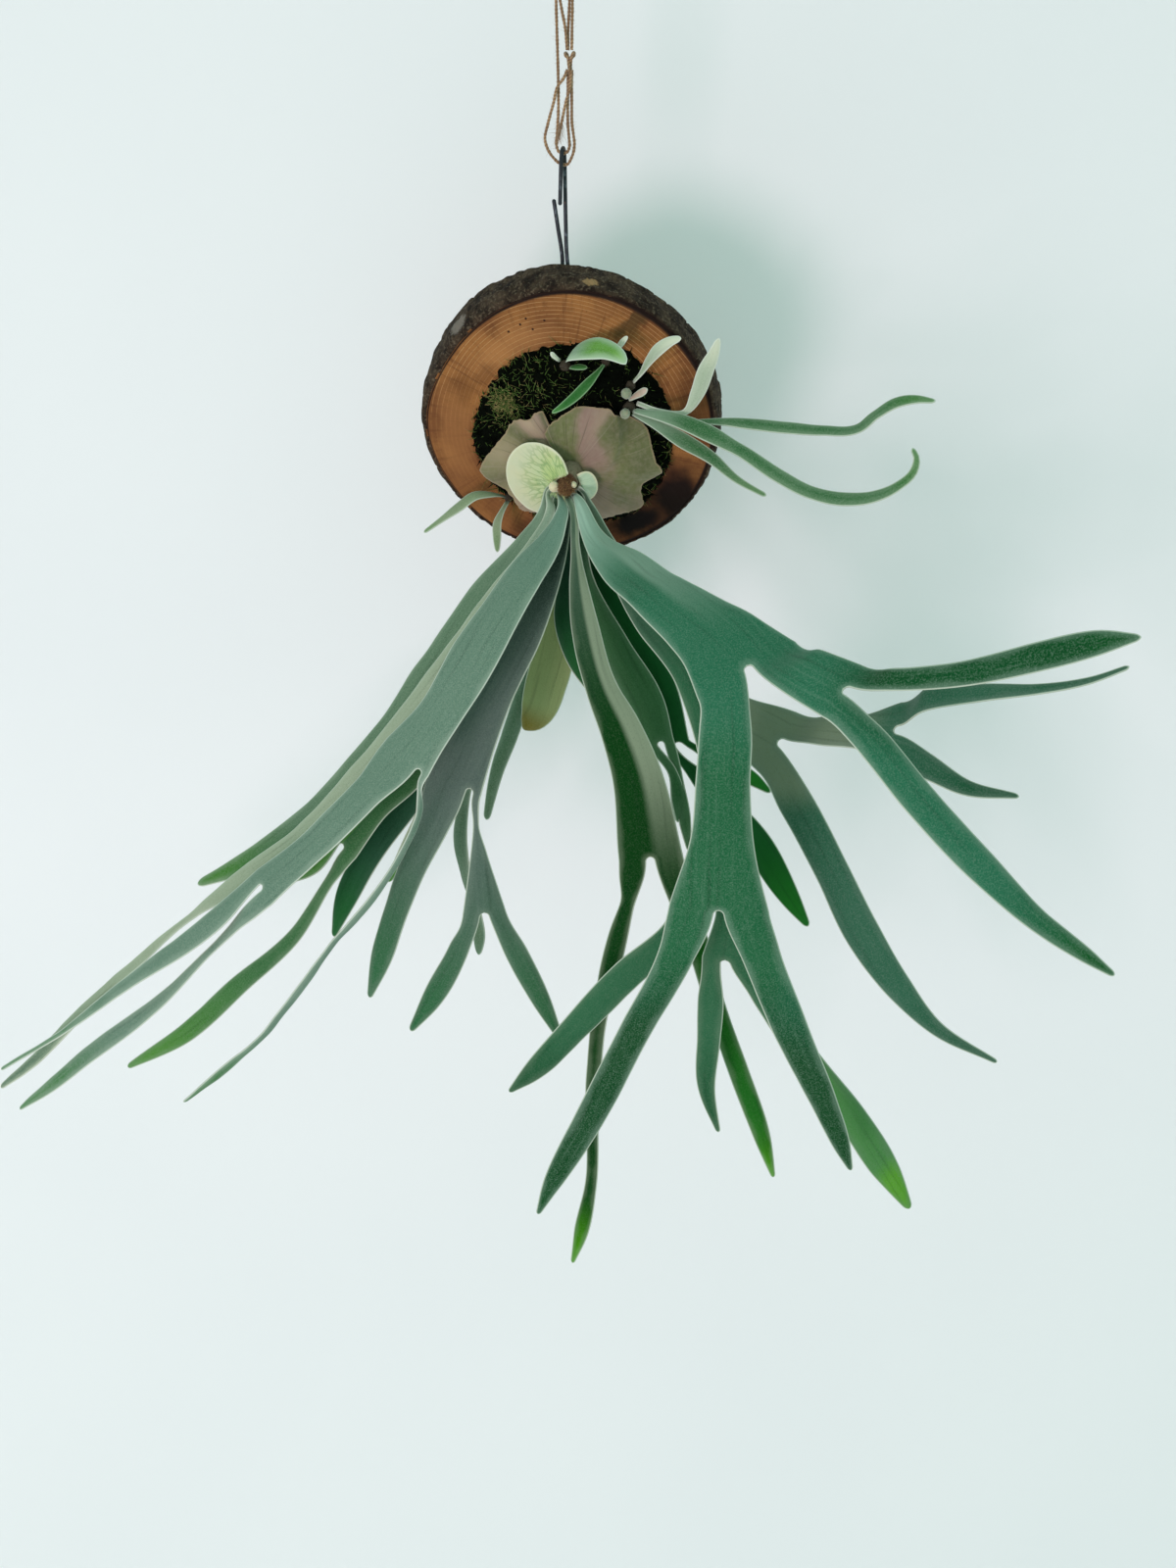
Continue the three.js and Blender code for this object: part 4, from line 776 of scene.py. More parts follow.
def bark_finish():
    """Bark: dull grey brown, mottled by algae, with warm dark cracks and a paler crust on its ridges."""
    finish, put, shader = new_finish("bark", 0.92)
    lie = put("Attribute", attribute_name="lie", output="Vector")
    mottle = put("TexNoise", {"Vector": lie, "Scale": 1 / 11, "Detail": 5.0, "Roughness": 0.65})
    tone = coat(put, "#1a130d", mottle, 0.35, 0.65, "#4b3e30")
    long_way = put("VectorMath", {0: lie, 1: (1.0, 1.0, 0.35)}, operation="MULTIPLY")
    cells = put("TexVoronoi", {"Vector": long_way, "Scale": 1 / 3.4}, feature="DISTANCE_TO_EDGE")
    cracks = put("MapRange", {"Value": cells, "From Min": 0.16, "From Max": 0.02, "To Max": 0.4}, **SMOOTH)
    tone = put("Mix", {"Factor": cracks, "A": tone, "B": "#2a1c17"}, **COLOURS)
    crust = put("TexNoise", {"Vector": lie, "Scale": 1 / 2.1, "Detail": 5.0})
    tone = coat(put, tone, crust, 0.52, 0.68, "#6f6250", 0.55)
    for place, radii, strength, patch in BARK_PATCHES:
        share = soft_spot(put, lie, place, radii, strength, 1.1, 1.5, ragged=crust)
        tone = put("Mix", {"Factor": share, "A": tone, "B": patch}, **COLOURS)
    inner = put("Attribute", attribute_name="inner", output="Fac")
    tone = put("Mix", {"Factor": inner, "A": tone, "B": "#1d100c"}, **COLOURS)
    ended(shader, tone, put("Math", {0: crust, 1: cracks}, operation="SUBTRACT"), 0.8)
    shader.inputs["Specular IOR Level"].default_value = 0.15
    return finish


# %% The slice
log = piece("sawn_log_slice", slice_points, slice_faces, wood_finish(), "wood", ["log_slice"],
            lie=np.vstack([ends[0], slice_lie, ends[1]]),
            pith=np.vstack([pith_lie[0], pith_lie, pith_lie[-1]]),
            inner=np.concatenate([[0], seam.ravel(), [0]]))
log.data.materials.append(bark_finish())
is_bark = np.concatenate([[0], bark.ravel(), [0]]) > 0.5
face_bark = np.array([is_bark[list(polygon.vertices)].mean() > 0.5 for polygon in log.data.polygons])
log.data.polygons.foreach_set("material_index", face_bark.astype(np.int32))
print("bark faces:", int(face_bark.sum()), "of", len(face_bark))

# %% [markdown]
# ## Moss
#
# Sphagnum and garden moss were packed round the roots and tied down with nothing: the shields hold them.
# Most of it is nearly black green, partly its own colour and partly painted shade in its depth, with brighter
# sprigs, tan dead fibre and a tuft of dried straw at the upper left. The mound is a dome with relief.
# Thousands of thin three-sided threads stand out of it, which is what moss is, and their roots sit in the
# mound, so none of them floats.

# %% The mound
MOSS_RIGHT, MOSS_UP = 0.0, -16.0
MOSS_RADII = [68, 70, 71, 64, 64, 64, 69, 70, 69, 65, 70, 68]
MOSS_HEIGHT, MOSS_MEAN, MOSS_FOOT = 14.0, 68.0, 0.25


def moss_height(share, right, up):
    """Height off the face: height * sqrt(1 - share^2.6), lumps of centimetres, and tufts down to 4 mm."""
    lumps = np.sin(right / 7 + 1) * np.cos(up / 8) + 0.6 * np.sin((right + up) / 5)
    tufts = 1.2 * relief(np.stack([right, up], -1), 11, 21, 2)
    dome = MOSS_HEIGHT * np.sqrt(np.clip(1 - share ** 2.6, 0, 1)) + 1.1 * lumps * (1 - share ** 4)
    return np.maximum(0.8, dome - 0.6 + tufts * (1 - share ** 8))


def moss_surface(sides=220):
    """Rings at growing shares of the outline's radius, which gets a ragged edge of a few millimetres."""
    angle = np.linspace(0, 2 * math.pi, sides, endpoint=False)[None, :]
    share = np.concatenate([np.linspace(0.03, 0.9, 46), np.linspace(0.92, 1, 7)])[:, None]
    ragged = 1.6 * relief(MOSS_MEAN * np.stack([np.cos(angle), np.sin(angle)], -1), 12, 22, 2) - 1
    radius = share * (outline(MOSS_RADII, angle) + ragged * share ** 4)
    right, up = MOSS_RIGHT + radius * np.cos(angle), MOSS_UP + radius * np.sin(angle)
    top = on_slice(right, moss_height(share, right, up), up)
    right, up = MOSS_RIGHT + (right[-1:] - MOSS_RIGHT) * 0.99, MOSS_UP + (up[-1:] - MOSS_UP) * 0.99
    return np.concatenate([top, on_slice(right, MOSS_FOOT, up)])


def moss_finish():
    """Living and dead moss: matt, from black green over moss green to straw; nearly black in its depth,
    partly its own colour and partly painted shade.
    """
    finish, put, shader = new_finish("moss", 1.0)
    place = place_in_mm(put)
    tone = put("Attribute", attribute_name="tone", output="Fac")
    clumps = put("TexNoise", {"Vector": place, "Scale": 1 / 7, "Detail": 4.0})
    # Nearly black in the mound: the moss's own dark green and painted shade of its depth.
    green = put("Mix", {"Factor": clumps, "A": "#020302", "B": "#090e06"}, **COLOURS)
    green = coat(put, green, tone, 0.25, 0.6, "#4c6430")
    ended(shader, coat(put, green, tone, 0.78, 1.0, "#c2a874"), clumps, 1.0)
    shader.inputs["Specular IOR Level"].default_value = 0.05
    return finish


moss = moss_finish()
moss_points, moss_faces = closed_rings(on_slice(MOSS_RIGHT, MOSS_HEIGHT, MOSS_UP), moss_surface(),
                                       on_slice(MOSS_RIGHT, MOSS_FOOT, MOSS_UP))
piece("moss_mound", moss_points, moss_faces, moss, "moss", ["moss_pad"], tone=np.zeros(len(moss_points)))

# %% Its sprigs and fibres
STRAW_TUFT = (-43.0, 10.0)


def moss_threads(count, seed, length, radius, tone, near=None, spread=9.0, flat=0.0):
    """Threads rooted in the mound, evenly or gathered near a point, leaning any way from straight out."""
    draw = np.random.default_rng(seed)
    if near is None:
        angle, share = draw.uniform(0, 2 * math.pi, count), np.sqrt(draw.uniform(0, 1, count))
        right = MOSS_RIGHT + share * outline(MOSS_RADII, angle) * np.cos(angle)
        up = MOSS_UP + share * outline(MOSS_RADII, angle) * np.sin(angle)
    else:
        right, up = near[0] + draw.normal(0, spread, count), near[1] + draw.normal(0, spread, count)
        share = np.hypot(right - MOSS_RIGHT, up - MOSS_UP) / MOSS_MEAN
        right, up, share = (values[share < 0.97] for values in (right, up, share))
        count = len(share)
    off = moss_height(np.minimum(share, 1), right, up) - 0.8
    lean = draw.normal(size=(count, 2)) * (0.7 + flat)
    ways = unit(OFF + lean[:, :1] * RIGHT + lean[:, 1:] * UP)
    bends = unit(draw.normal(size=(count, 3))) * 0.55 - OFF * 0.25 * (1 + flat)
    points, faces, u = threads(on_slice(right, off, up), ways, bends, draw.uniform(*length, count), radius,
                               rows=4)
    tones = np.repeat(np.clip(draw.normal(tone, 0.16, count), 0, 1), 12)
    return points, faces, tones * (0.55 + 0.45 * u)


green_points, green_faces, green_tone = joined(
    moss_threads(3400, 31, (1.5, 4.5), 0.45, 0.08), moss_threads(520, 32, (2.5, 5.5), 0.34, 0.66),
    moss_threads(460, 36, (5, 10), 0.26, 1.05, flat=1.3),
    moss_threads(200, 37, (3, 7), 0.3, 1.05, near=(-24, 16), spread=13, flat=0.8))
piece("moss_sprigs", green_points, green_faces, moss, "moss", tone=green_tone)
dry_points, dry_faces, dry_tone = joined(
    moss_threads(380, 33, (3, 10), 0.2, 0.85, flat=0.9),
    moss_threads(460, 34, (2, 6), 0.42, 1.25, near=STRAW_TUFT, spread=4.6, flat=0.4),
    moss_threads(90, 35, (4, 8), 0.22, 1.0, near=(-40, -4), spread=6, flat=1.2),
    moss_threads(70, 38, (3, 8), 0.24, 1.1, near=(60, -26), spread=11, flat=1.0))
piece("dry_fibres", dry_points, dry_faces, moss, "moss", tone=dry_tone)

# %% [markdown]
# ## Rhizome and buds
#
# The fern grows from one thick stem, the rhizome, which ends in a bud covered with brown chaffy scales.
# Beside it sit two cream nubs, the next shield fronds. The plantlets in the moss have small buds of their
# own with pale wool. Stem and buds are turned profiles, and the scales are flat tapered threads.

# %% Rhizome
RHIZOME_PROFILE = [(0.5, 6), (5.4, 6), (6.8, 10), (6.8, 32), (6.0, 36), (4.9, 41), (3.7, 45), (2.0, 46.6),
                   (0.5, 47)]


def turned(profile, axis, sides=64, rows=70, rough=0.35, seed=41):
    """A solid of revolution: radius over height from the profile, plus relief, about an axis (point, way)."""
    profile = np.asarray(profile, float)
    along = np.append(0, np.cumsum(np.linalg.norm(np.diff(profile, axis=0), axis=1)))
    radius, height = through(along, profile)(np.linspace(0, along[-1], rows)).T
    angle = np.linspace(0, 2 * math.pi, sides, endpoint=False)
    start, way = axis
    one = unit(np.cross(way, [0.3, 0.1, 0.9]))
    two = np.cross(way, one)
    out = np.cos(angle)[:, None] * one + np.sin(angle)[:, None] * two
    rings = start + height[:, None, None] * way + np.maximum(radius, 0.1)[:, None, None] * out
    bumps = rough * relief(rings, 3.0, seed, 2) * np.minimum(1, radius / 2)[:, None]
    rings = rings + bumps[..., None] * out
    return closed_rings(start + height[0] * way, rings, start + height[-1] * way)


def scale_finish(name, dark, light, tips):
    """Chaffy fern scales: dry, papery, red brown at the root and golden at the tip. The bare stem is dull."""
    finish, put, shader = new_finish(name, 0.8)
    place = place_in_mm(put)
    spots = put("TexNoise", {"Vector": place, "Scale": 1 / 1.8, "Detail": 3.0})
    tone = put("Attribute", attribute_name="tone", output="Fac")
    base = put("Mix", {"Factor": spots, "A": dark, "B": light}, **COLOURS)
    base = put("Mix", {"Factor": tone, "A": base, "B": tips}, **COLOURS)
    felted = put("Attribute", attribute_name="felted", output="Fac")
    ended(shader, put("Mix", {"Factor": felted, "A": base, "B": "#847b64"}, **COLOURS), spots, 0.3)
    return finish


def wool_finish(name, light, dark):
    """Young tissue under white felt: soft, nearly matt, with a sheen from its hairs."""
    finish, put, shader = new_finish(name, 0.75)
    soft = put("TexNoise", {"Vector": place_in_mm(put), "Scale": 1 / 2.4, "Detail": 3.0})
    ended(shader, put("Mix", {"Factor": soft, "A": dark, "B": light}, **COLOURS), soft, 0.12)
    shader.inputs["Sheen Weight"].default_value = 0.5
    shader.inputs["Subsurface Weight"].default_value = 0.1
    return finish


scales = scale_finish("chaffy_scales", "#3a2010", "#6b4224", "#b08a58")
rhizome_axis = (on_slice(CROWN_RIGHT, 0, CROWN_UP), OFF)
rhizome_points, rhizome_faces = turned(RHIZOME_PROFILE, rhizome_axis)
piece("rhizome_stem", rhizome_points, rhizome_faces, scales, "stem", ["rhizome"],
      tone=np.zeros(len(rhizome_points)),
      felted=smoothstep(-(rhizome_points - rhizome_axis[0]) @ OFF, -36.0, -33.0))

# %% Scales on the bud, and the cream nubs
def scale_hairs(centre, radius, height, count, length, seed, thick=0.22):
    """Scales rooted on a small dome of the given radius and height about OFF, pointing out and up."""
    draw = np.random.default_rng(seed)
    angle, share = draw.uniform(0, 2 * math.pi, count), np.sqrt(draw.uniform(0, 1, count))
    flat = np.cos(angle)[:, None] * RIGHT + np.sin(angle)[:, None] * UP
    roots = centre + flat * (radius * share)[:, None] + OFF * (height * (1 - share**2))[:, None]
    ways = unit(flat * share[:, None] * 1.1 + OFF * 0.9 + 0.35 * draw.normal(size=(count, 3)))
    bends = 0.35 * draw.normal(size=(count, 3)) - flat * 0.3
    points, faces, u = threads(roots, ways, bends, draw.uniform(*length, count), thick, rows=4)
    return points, faces, 0.15 + 0.85 * u * np.repeat(draw.uniform(0.3, 1, count), 12)


bud_tip = on_slice(CROWN_RIGHT, 41.5, CROWN_UP)
bud_parts = [scale_hairs(bud_tip, 4.6, 5.2, 560, (1.4, 3.6), 42),
             scale_hairs(on_slice(CROWN_RIGHT, 38.5, CROWN_UP), 5.6, 2.5, 380, (1.6, 3.6), 48)]

CREAM_NUBS = [((-6.6, -32.8), 42.6, 3.5, 3.8), ((6.4, -31.2), 41.6, 2.0, 2.8)]
cream = wool_finish("cream_young_tissue", "#e3dab6", "#c9bc90")
for number, ((right, up), off, radius, long) in enumerate(CREAM_NUBS):
    nub_profile = [(0.2, -long), (radius * 0.75, -long * 0.7), (radius, 0), (radius * 0.72, long * 0.62),
                   (0.2, long * 0.9)]
    nub_points, nub_faces = turned(nub_profile, (on_slice(right, off, up), unit(OFF + 0.25 * RIGHT)), 36,
                                   30, 0.08)
    piece(f"cream_nub_{number}", nub_points, nub_faces, cream, "young_shield")

# %% The plantlets' buds
BUDS = {"pup_top_bud": ((-1, -6, 77), 3.4), "pup_top_bud_small": ((25, -8.2, 79.7), 2.6),
        "pup_side_bud": ((40, -13, 51), 3.8), "pup_side_bud_upper": ((41, -11, 65), 3.0),
        "pup_left_bud": ((-47, -41, -16.6), 3.0)}
woolly = wool_finish("pale_wool", "#9da78a", "#67715a")
# A darker copy of the scales for the plantlets' buds among the moss: painted shade.
shaded_scales = scale_finish("shaded_scales", "#14110a", "#2c2415", "#6b5b3c")
small_parts = []
for name, (place, radius) in BUDS.items():
    centre = CROWN + np.array(place) * FRONT
    profile = [(0.15, -radius), (radius * 0.72, -radius * 0.7), (radius, 0), (radius * 0.75, radius * 0.66),
               (0.15, radius)]
    bud_points, bud_faces = turned(profile, (centre, OFF), 36, 30, 0.3, 43)
    piece("scaly_" + name, bud_points, bud_faces, shaded_scales, "stem", [name],
          tone=np.full(len(bud_points), 0.1))
    small_parts.append(scale_hairs(centre, radius * 0.9, radius * 0.8, 60, (0.8, 2.0),
                                   len(small_parts) + 50, 0.14))
NUBS = [((38.2, -5.5, 47.5), 3.2, 4.0), ((39, -4.5, 60.5), 3.4, 4.2)]
for number, (place, radius, long) in enumerate(NUBS):
    profile = [(0.2, -long), (radius * 0.8, -long * 0.6), (radius, 0.2), (radius * 0.7, long * 0.6),
               (0.2, long * 0.85)]
    nub_points, nub_faces = turned(profile, (CROWN + np.array(place) * FRONT, OFF), 36, 30, 0.12, 44)
    piece(f"woolly_nub_{number}", nub_points, nub_faces, woolly, "leaf_pale")
for name, parts, finish in [("bud_scales", bud_parts, scales),
                            ("small_bud_scales", small_parts, shaded_scales)]:
    hair_points, hair_faces, hair_tone = joined(*parts)
    piece(name, hair_points, hair_faces, finish, "stem", tone=hair_tone)

# %% [markdown]
# ## Shield fronds
#
# A staghorn fern grows two kinds of frond. The shields clasp what it sits on, hold its moss, and go papery
# and brown with age, while new green ones grow over them. The old shield here is two fans with a cleft
# between them: polar grids about the rhizome, from an inner circle to a lobed, torn edge. Veins run out
# from the middle and the sheet has folds between them. The young ones are domed discs that rise to the bud,
# with fine radial green veins.

# %% Shape of the old shield
SHIELD_INNER, SHIELD_HALF = 7.4, 0.45
OLD_SHIELD_RIGHT = [
    (-88, 42), (-74, 42), (-59, 43), (-46, 45), (-36, 50), (-28, 54), (-20, 49), (-12, 49), (-6, 54), (0, 61),
    (8, 58), (20, 58), (31, 60), (42, 57), (49, 52), (56, 53), (66, 50), (76, 47), (86, 43), (98, 38),
    (110, 35), (123, 31)]
OLD_SHIELD_LEFT = [
    (113, 44), (120, 45), (127, 44), (136, 49), (144, 50), (154, 50), (163, 53), (171, 57), (178, 61),
    (184, 64), (191, 60), (199, 52), (209, 49), (220, 50), (231, 46), (242, 43), (256, 42)]


def shield_fan(outline_points, inner, edge, swell, folds, fold_angle, pleat, zones, seed, columns=46):
    """off = inner + (edge - inner) * share² + swell * sin(pi share) + folds * share^1.5 * sin(k a) + pleat.

    The outline is a smooth curve through its points, torn by relief of under a millimetre. Zones are sums of
    soft bumps over angle and radius: how mauve the sheet is there, how pale, which is painted highlight on
    the ridges of its folds, and how dark, which is painted shade in the valleys of its folds and in the
    cleft."""
    angles, radii = np.array(outline_points, float).T
    angle = np.linspace(angles[0], angles[-1], int((angles[-1] - angles[0]) / 1.1))
    radius = through(angles, radii[:, None])(angle)[:, 0]
    a = np.radians(angle)[:, None]
    rim = np.stack([radius * np.cos(a[:, 0]), radius * np.sin(a[:, 0])], -1)
    radius = radius + 0.45 * relief(rim, 5, seed, 2)
    share = (np.linspace(0, 1, columns) ** 0.85)[None, :]
    r = SHIELD_INNER + share * (radius[:, None] - SHIELD_INNER)
    flat = np.stack([r * np.cos(a), r * np.sin(a)], -1)
    fold = folds * share ** 1.5 * np.sin(a * fold_angle)
    off = inner + (edge - inner) * share**2 + swell * np.sin(math.pi * share) + fold
    for at, turn, wide, high in pleat:
        away = angle[:, None] - at - turn * (r - 30)
        off = off + high * np.exp(-(away * r * math.pi / 180 / wide) ** 2) * share
    off = off + 0.35 * relief(flat, 16, seed + 1, 1) + 0.12 * np.sin(a * 46) * share
    right, up = CROWN_RIGHT + flat[..., 0], CROWN_UP + flat[..., 1]
    index = np.arange(right.size).reshape(right.shape)
    lie = np.stack([np.broadcast_to(angle[:, None], right.shape), r, share + 0 * r], -1)
    # Zones: mauve; pale on the fold ridges, as painted highlight; dark in the fold valleys and the cleft, as
    # painted shade.
    zone = np.stack([sum(amount * np.exp(-((angle[:, None] - at) / wide) ** 2 - ((r - far) / deep) ** 2)
                         for at, far, wide, deep, amount in bumps) for bumps in zones], -1)
    return on_slice(right, off, up).reshape(-1, 3), grid_quads(index), lie.reshape(-1, 3), zone.reshape(-1, 3)


def sheet_piece(name, points, quads, finish, slot, nodes, half, lie, edge=None, thins_over=2.2, **layers):
    """A sheet as a piece with real thickness: thinner towards its rim, with the distance to it as a value."""
    edge = from_rim(points, quads) if edge is None else edge
    solid, faces = walled(points, quads, half * (0.4 + 0.6 * smoothstep(edge, 0, thins_over)))
    layers = dict(layers, lie=lie, edge=edge)
    both_sides = {key: np.concatenate([values, values]) for key, values in layers.items()}
    return piece(name, solid, faces, finish, slot, nodes, under=np.repeat([0.0, 1.0], len(points)),
                 **both_sides)


# %% Finish of the old shield
def old_shield_finish():
    """Papery old frond: matt, mauve brown and olive in blotches, radial veins, tan at the edge; paler on
    the ridges of its folds as painted highlight, darker in their valleys and the cleft as painted shade.
    """
    finish, put, shader = new_finish("papery_old_shield", 0.82)
    lie = put("Attribute", attribute_name="lie", output="Vector")
    place = place_in_mm(put)
    blotch = put("TexNoise", {"Vector": place, "Scale": 1 / 24, "Detail": 3.0, "Roughness": 0.6})
    zone = put("Attribute", attribute_name="zone", output="Vector")
    where = put("Math", {0: blotch, 1: put("SeparateXYZ", {"Vector": zone}, output="X")}, operation="ADD")
    tone = coat(put, "#646b3c", where, 0.6, 1.1, "#8d7466")
    # Paler on the ridges of the folds: painted highlight.
    faded = put("SeparateXYZ", {"Vector": zone}, output="Y")
    tone = put("Mix", {"Factor": faded, "A": tone, "B": "#ad9c7e"}, **COLOURS)
    # Darker in the valleys of the folds and in the cleft between the fans: painted shade.
    tone = put("Mix", {"Factor": put("SeparateXYZ", {"Vector": zone}, output="Z"), "A": tone, "B": "#414727"},
               **COLOURS)
    fine = put("TexNoise", {"Vector": place, "Scale": 1 / 3, "Detail": 5.0, "Roughness": 0.65})
    tone = coat(put, tone, fine, 0.35, 0.75, "#958a76", 0.3)
    spread = put("VectorMath", {0: lie, 1: (1.0, 0.055, 0.0)}, operation="MULTIPLY")
    streaks = put("TexNoise", {"Vector": spread, "Scale": 1 / 2.6, "Detail": 3.0})
    tone = coat(put, tone, streaks, 0.56, 0.72, "#474530", 0.5)
    tone = coat(put, tone, streaks, 0.44, 0.28, "#9b8e7e", 0.4)
    edge = put("Attribute", attribute_name="edge", output="Fac")
    tone = coat(put, tone, edge, 1.6, 0.2, "#9c8766", 0.75)
    under = put("Attribute", attribute_name="under", output="Fac")
    tone = put("Mix", {"Factor": under, "A": tone, "B": "#86745b"}, **COLOURS)
    ended(shader, tone, put("Math", {0: streaks, 1: fine}, operation="ADD"), 0.35)
    shader.inputs["Sheen Weight"].default_value = 0.2
    return finish


old_shield = old_shield_finish()
PLEAT_RIGHT = [(20, 1.5, 2.6, 3.4), (8, 1.5, 4.2, -2.4), (82, 0.1, 5, -1.2), (4, 0, 5, 1.2),
               (-22, 0, 5, -1.2), (-52, 0, 5, 1.0), (-72, 0, 4, -0.8)]
PLEAT_LEFT = [(128, 0, 3.4, 2.0), (146, 0, 4, -1.2), (168, 0, 5, 1.2), (192, 0, 4, -1.0), (222, 0, 5, 1.0)]
# Zones of each fan as (angle, radius, angle width, radius width, amount), in three lists: mauve; pale on the
# fold ridges, which is painted highlight; dark in the fold valleys and the cleft, which is painted shade.
ZONES_RIGHT = [[(66, 50, 11, 22, 0.8), (40, 22, 40, 14, 0.7), (-45, 35, 35, 30, 0.55)],
               [(60, 52, 6, 20, 0.4), (-62, 40, 25, 25, 0.4), (100, 58, 9, 9, 0.3)],
               [(42, 48, 13, 14, 0.6), (8, 50, 17, 13, 0.5), (112, 40, 5, 30, 0.5)]]
ZONES_LEFT = [[(128, 45, 12, 30, 0.8), (225, 40, 40, 30, 0.4)],
              [(130, 45, 8, 25, 0.75), (165, 50, 14, 20, 0.55), (215, 45, 35, 20, 0.5)],
              [(114, 40, 4, 30, 0.7), (146, 40, 5, 25, 0.45), (192, 45, 7, 25, 0.45)]]
points, quads, lie, zone = shield_fan(OLD_SHIELD_RIGHT, 20.5, 17.5, 2.6, 1.2, 7, PLEAT_RIGHT, ZONES_RIGHT, 61)
sheet_piece("papery_shield_right", points, quads, old_shield, "old_shield", ["old_shield_right"],
            SHIELD_HALF, lie, zone=zone)
points, quads, lie, zone = shield_fan(OLD_SHIELD_LEFT, 17, 15.2, 0.6, 0.6, 9, PLEAT_LEFT, ZONES_LEFT, 63)
sheet_piece("papery_shield_left", points, quads, old_shield, "old_shield", ["old_shield_left"],
            SHIELD_HALF, lie, zone=zone)

# %% Shape of a young shield
def shield_disc(right, up, across, along, off, dome, rise, notch_up, notch, lift, count=84):
    """A square grid drawn out into a disc, x = u * sqrt(1 - v²/2), so it has no pole, then into an ellipse.

    off = off + rise * x + dome * (1 - share²) + lift * exp(-((near - notch) / 8)²), with near the distance
    to the rhizome, and the rim is cut back by a circle round it."""
    u, v = np.meshgrid(np.linspace(-1, 1, count), np.linspace(-1, 1, count))
    x, y = u * np.sqrt(1 - v**2 / 2), v * np.sqrt(1 - u**2 / 2)
    share, angle = np.hypot(x, y), np.arctan2(y, x)
    away_x, away_y = -right, notch_up - up
    rim = 1 / np.hypot(np.cos(angle) / across, np.sin(angle) / along)
    toward = np.cos(angle) * away_x + np.sin(angle) * away_y
    left = notch**2 - away_x**2 - away_y**2 + toward**2
    cut = np.where((left > 0) & (toward > 0), toward - np.sqrt(np.maximum(left, 0)), np.inf)
    rim = np.minimum(rim, cut)
    x, y = share * rim * np.cos(angle), share * rim * np.sin(angle)
    wavy = 0.3 * relief(np.stack([x, y], -1), 18, 65, 1) * share
    near, around = np.hypot(right + x, up + y - notch_up), np.arctan2(up + y - notch_up, right + x)
    raised = lift * np.exp(-((near - notch) / 8) ** 2)
    sheet = on_slice(CROWN_RIGHT + right + x, off + rise * x + dome * (1 - share**2) + wavy + raised,
                     CROWN_UP + up + y)
    lie = np.stack([14 * np.cos(around), 14 * np.sin(around), near], -1)
    return sheet.reshape(-1, 3), grid_quads(np.arange(count**2).reshape(count, count)), lie.reshape(-1, 3)


# %% Finish of the young shields
def young_shield_finish(name, middle, outer, vein, rim, veins):
    """Young frond under thin felt: pale green, deeper green veins out from the bud, a cream rim."""
    finish, put, shader = new_finish(name, 0.5)
    place = place_in_mm(put)
    lie = put("Attribute", attribute_name="lie", output="Vector")
    from_bud = put("SeparateXYZ", {"Vector": lie}, output="Z")
    tone = coat(put, middle, from_bud, 12.0, 38.0, outer)
    soft = put("TexNoise", {"Vector": place, "Scale": 1 / 10, "Detail": 2.0})
    tone = coat(put, tone, soft, 0.3, 0.7, "#c6cfae", 0.35)
    bent = put("TexNoise", {"Vector": place, "Scale": 1 / 6, "Detail": 2.0}, output="Color")
    radial = put("VectorMath", {0: lie, 1: (1.0, 1.0, 0.16)}, operation="MULTIPLY")
    net_place = put("VectorMath", {0: bent, 1: (1.6, 1.6, 1.6), 2: radial}, operation="MULTIPLY_ADD")
    net = put("TexVoronoi", {"Vector": net_place, "Scale": 1 / 1.9}, feature="DISTANCE_TO_EDGE")
    line = put("MapRange", {"Value": net, "From Min": 0.14, "From Max": 0.02}, **SMOOTH)
    faded = put("MapRange", {"Value": from_bud, "From Min": 40.0, "From Max": 18.0, "To Max": veins},
                **SMOOTH)
    line = put("Math", {0: line, 1: faded}, operation="MULTIPLY")
    tone = put("Mix", {"Factor": line, "A": tone, "B": vein}, **COLOURS)
    edge = put("Attribute", attribute_name="edge", output="Fac")
    tone = coat(put, tone, edge, 2.0, 0.3, rim, 0.85)
    ended(shader, tone, put("Math", {0: net, 1: soft}, operation="ADD"), 0.12)
    shader.inputs["Sheen Weight"].default_value = 0.3
    shader.inputs["Subsurface Weight"].default_value = 0.15
    return finish


# %% The young shields
points, quads, lie = shield_disc(-20, -2, 23.5, 26.5, 28, 2.2, 0.2, -1.5, 7.6, 6.5)
finish = young_shield_finish("felted_young_shield", "#b3c479", "#cecda3", "#6f944f", "#e0dfbb", 0.7)
sheet_piece("felted_shield", points, quads, finish, "young_shield", ["young_shield"], SHIELD_HALF, lie)
points, quads, lie = shield_disc(10.5, -5.8, 8.5, 11.5, 27, 1.5, 0, -1.5, 7.8, 5)
finish = young_shield_finish("felted_small_shield", "#c0d4b0", "#cdd3b0", "#9db894", "#ece2ba", 0.3)
sheet_piece("felted_shield_small", points, quads, finish, "young_shield", ["small_shield"], SHIELD_HALF, lie)

# %% [markdown]
# ## Fronds
#
# The fertile fronds are the antlers that the fern is named for: straps as thick as card, felted grey green,
# that fork again and again and end in blunt fingers. Each grows as one sheet. Its midrib runs through a few
# stations, a row of points crosses it every few millimetres, and where it forks, each lobe goes on from its
# share of the last row. A lobe first keeps its parent's way and turns to its own over 34 mm, as tissue
# does.
#
# The sheet remembers where each point lies on the leaf: across, along, how far from the rim and from the
# tip. The finish draws felt, veins, ridges and pale margins from that, so they follow the frond round every
# bend.

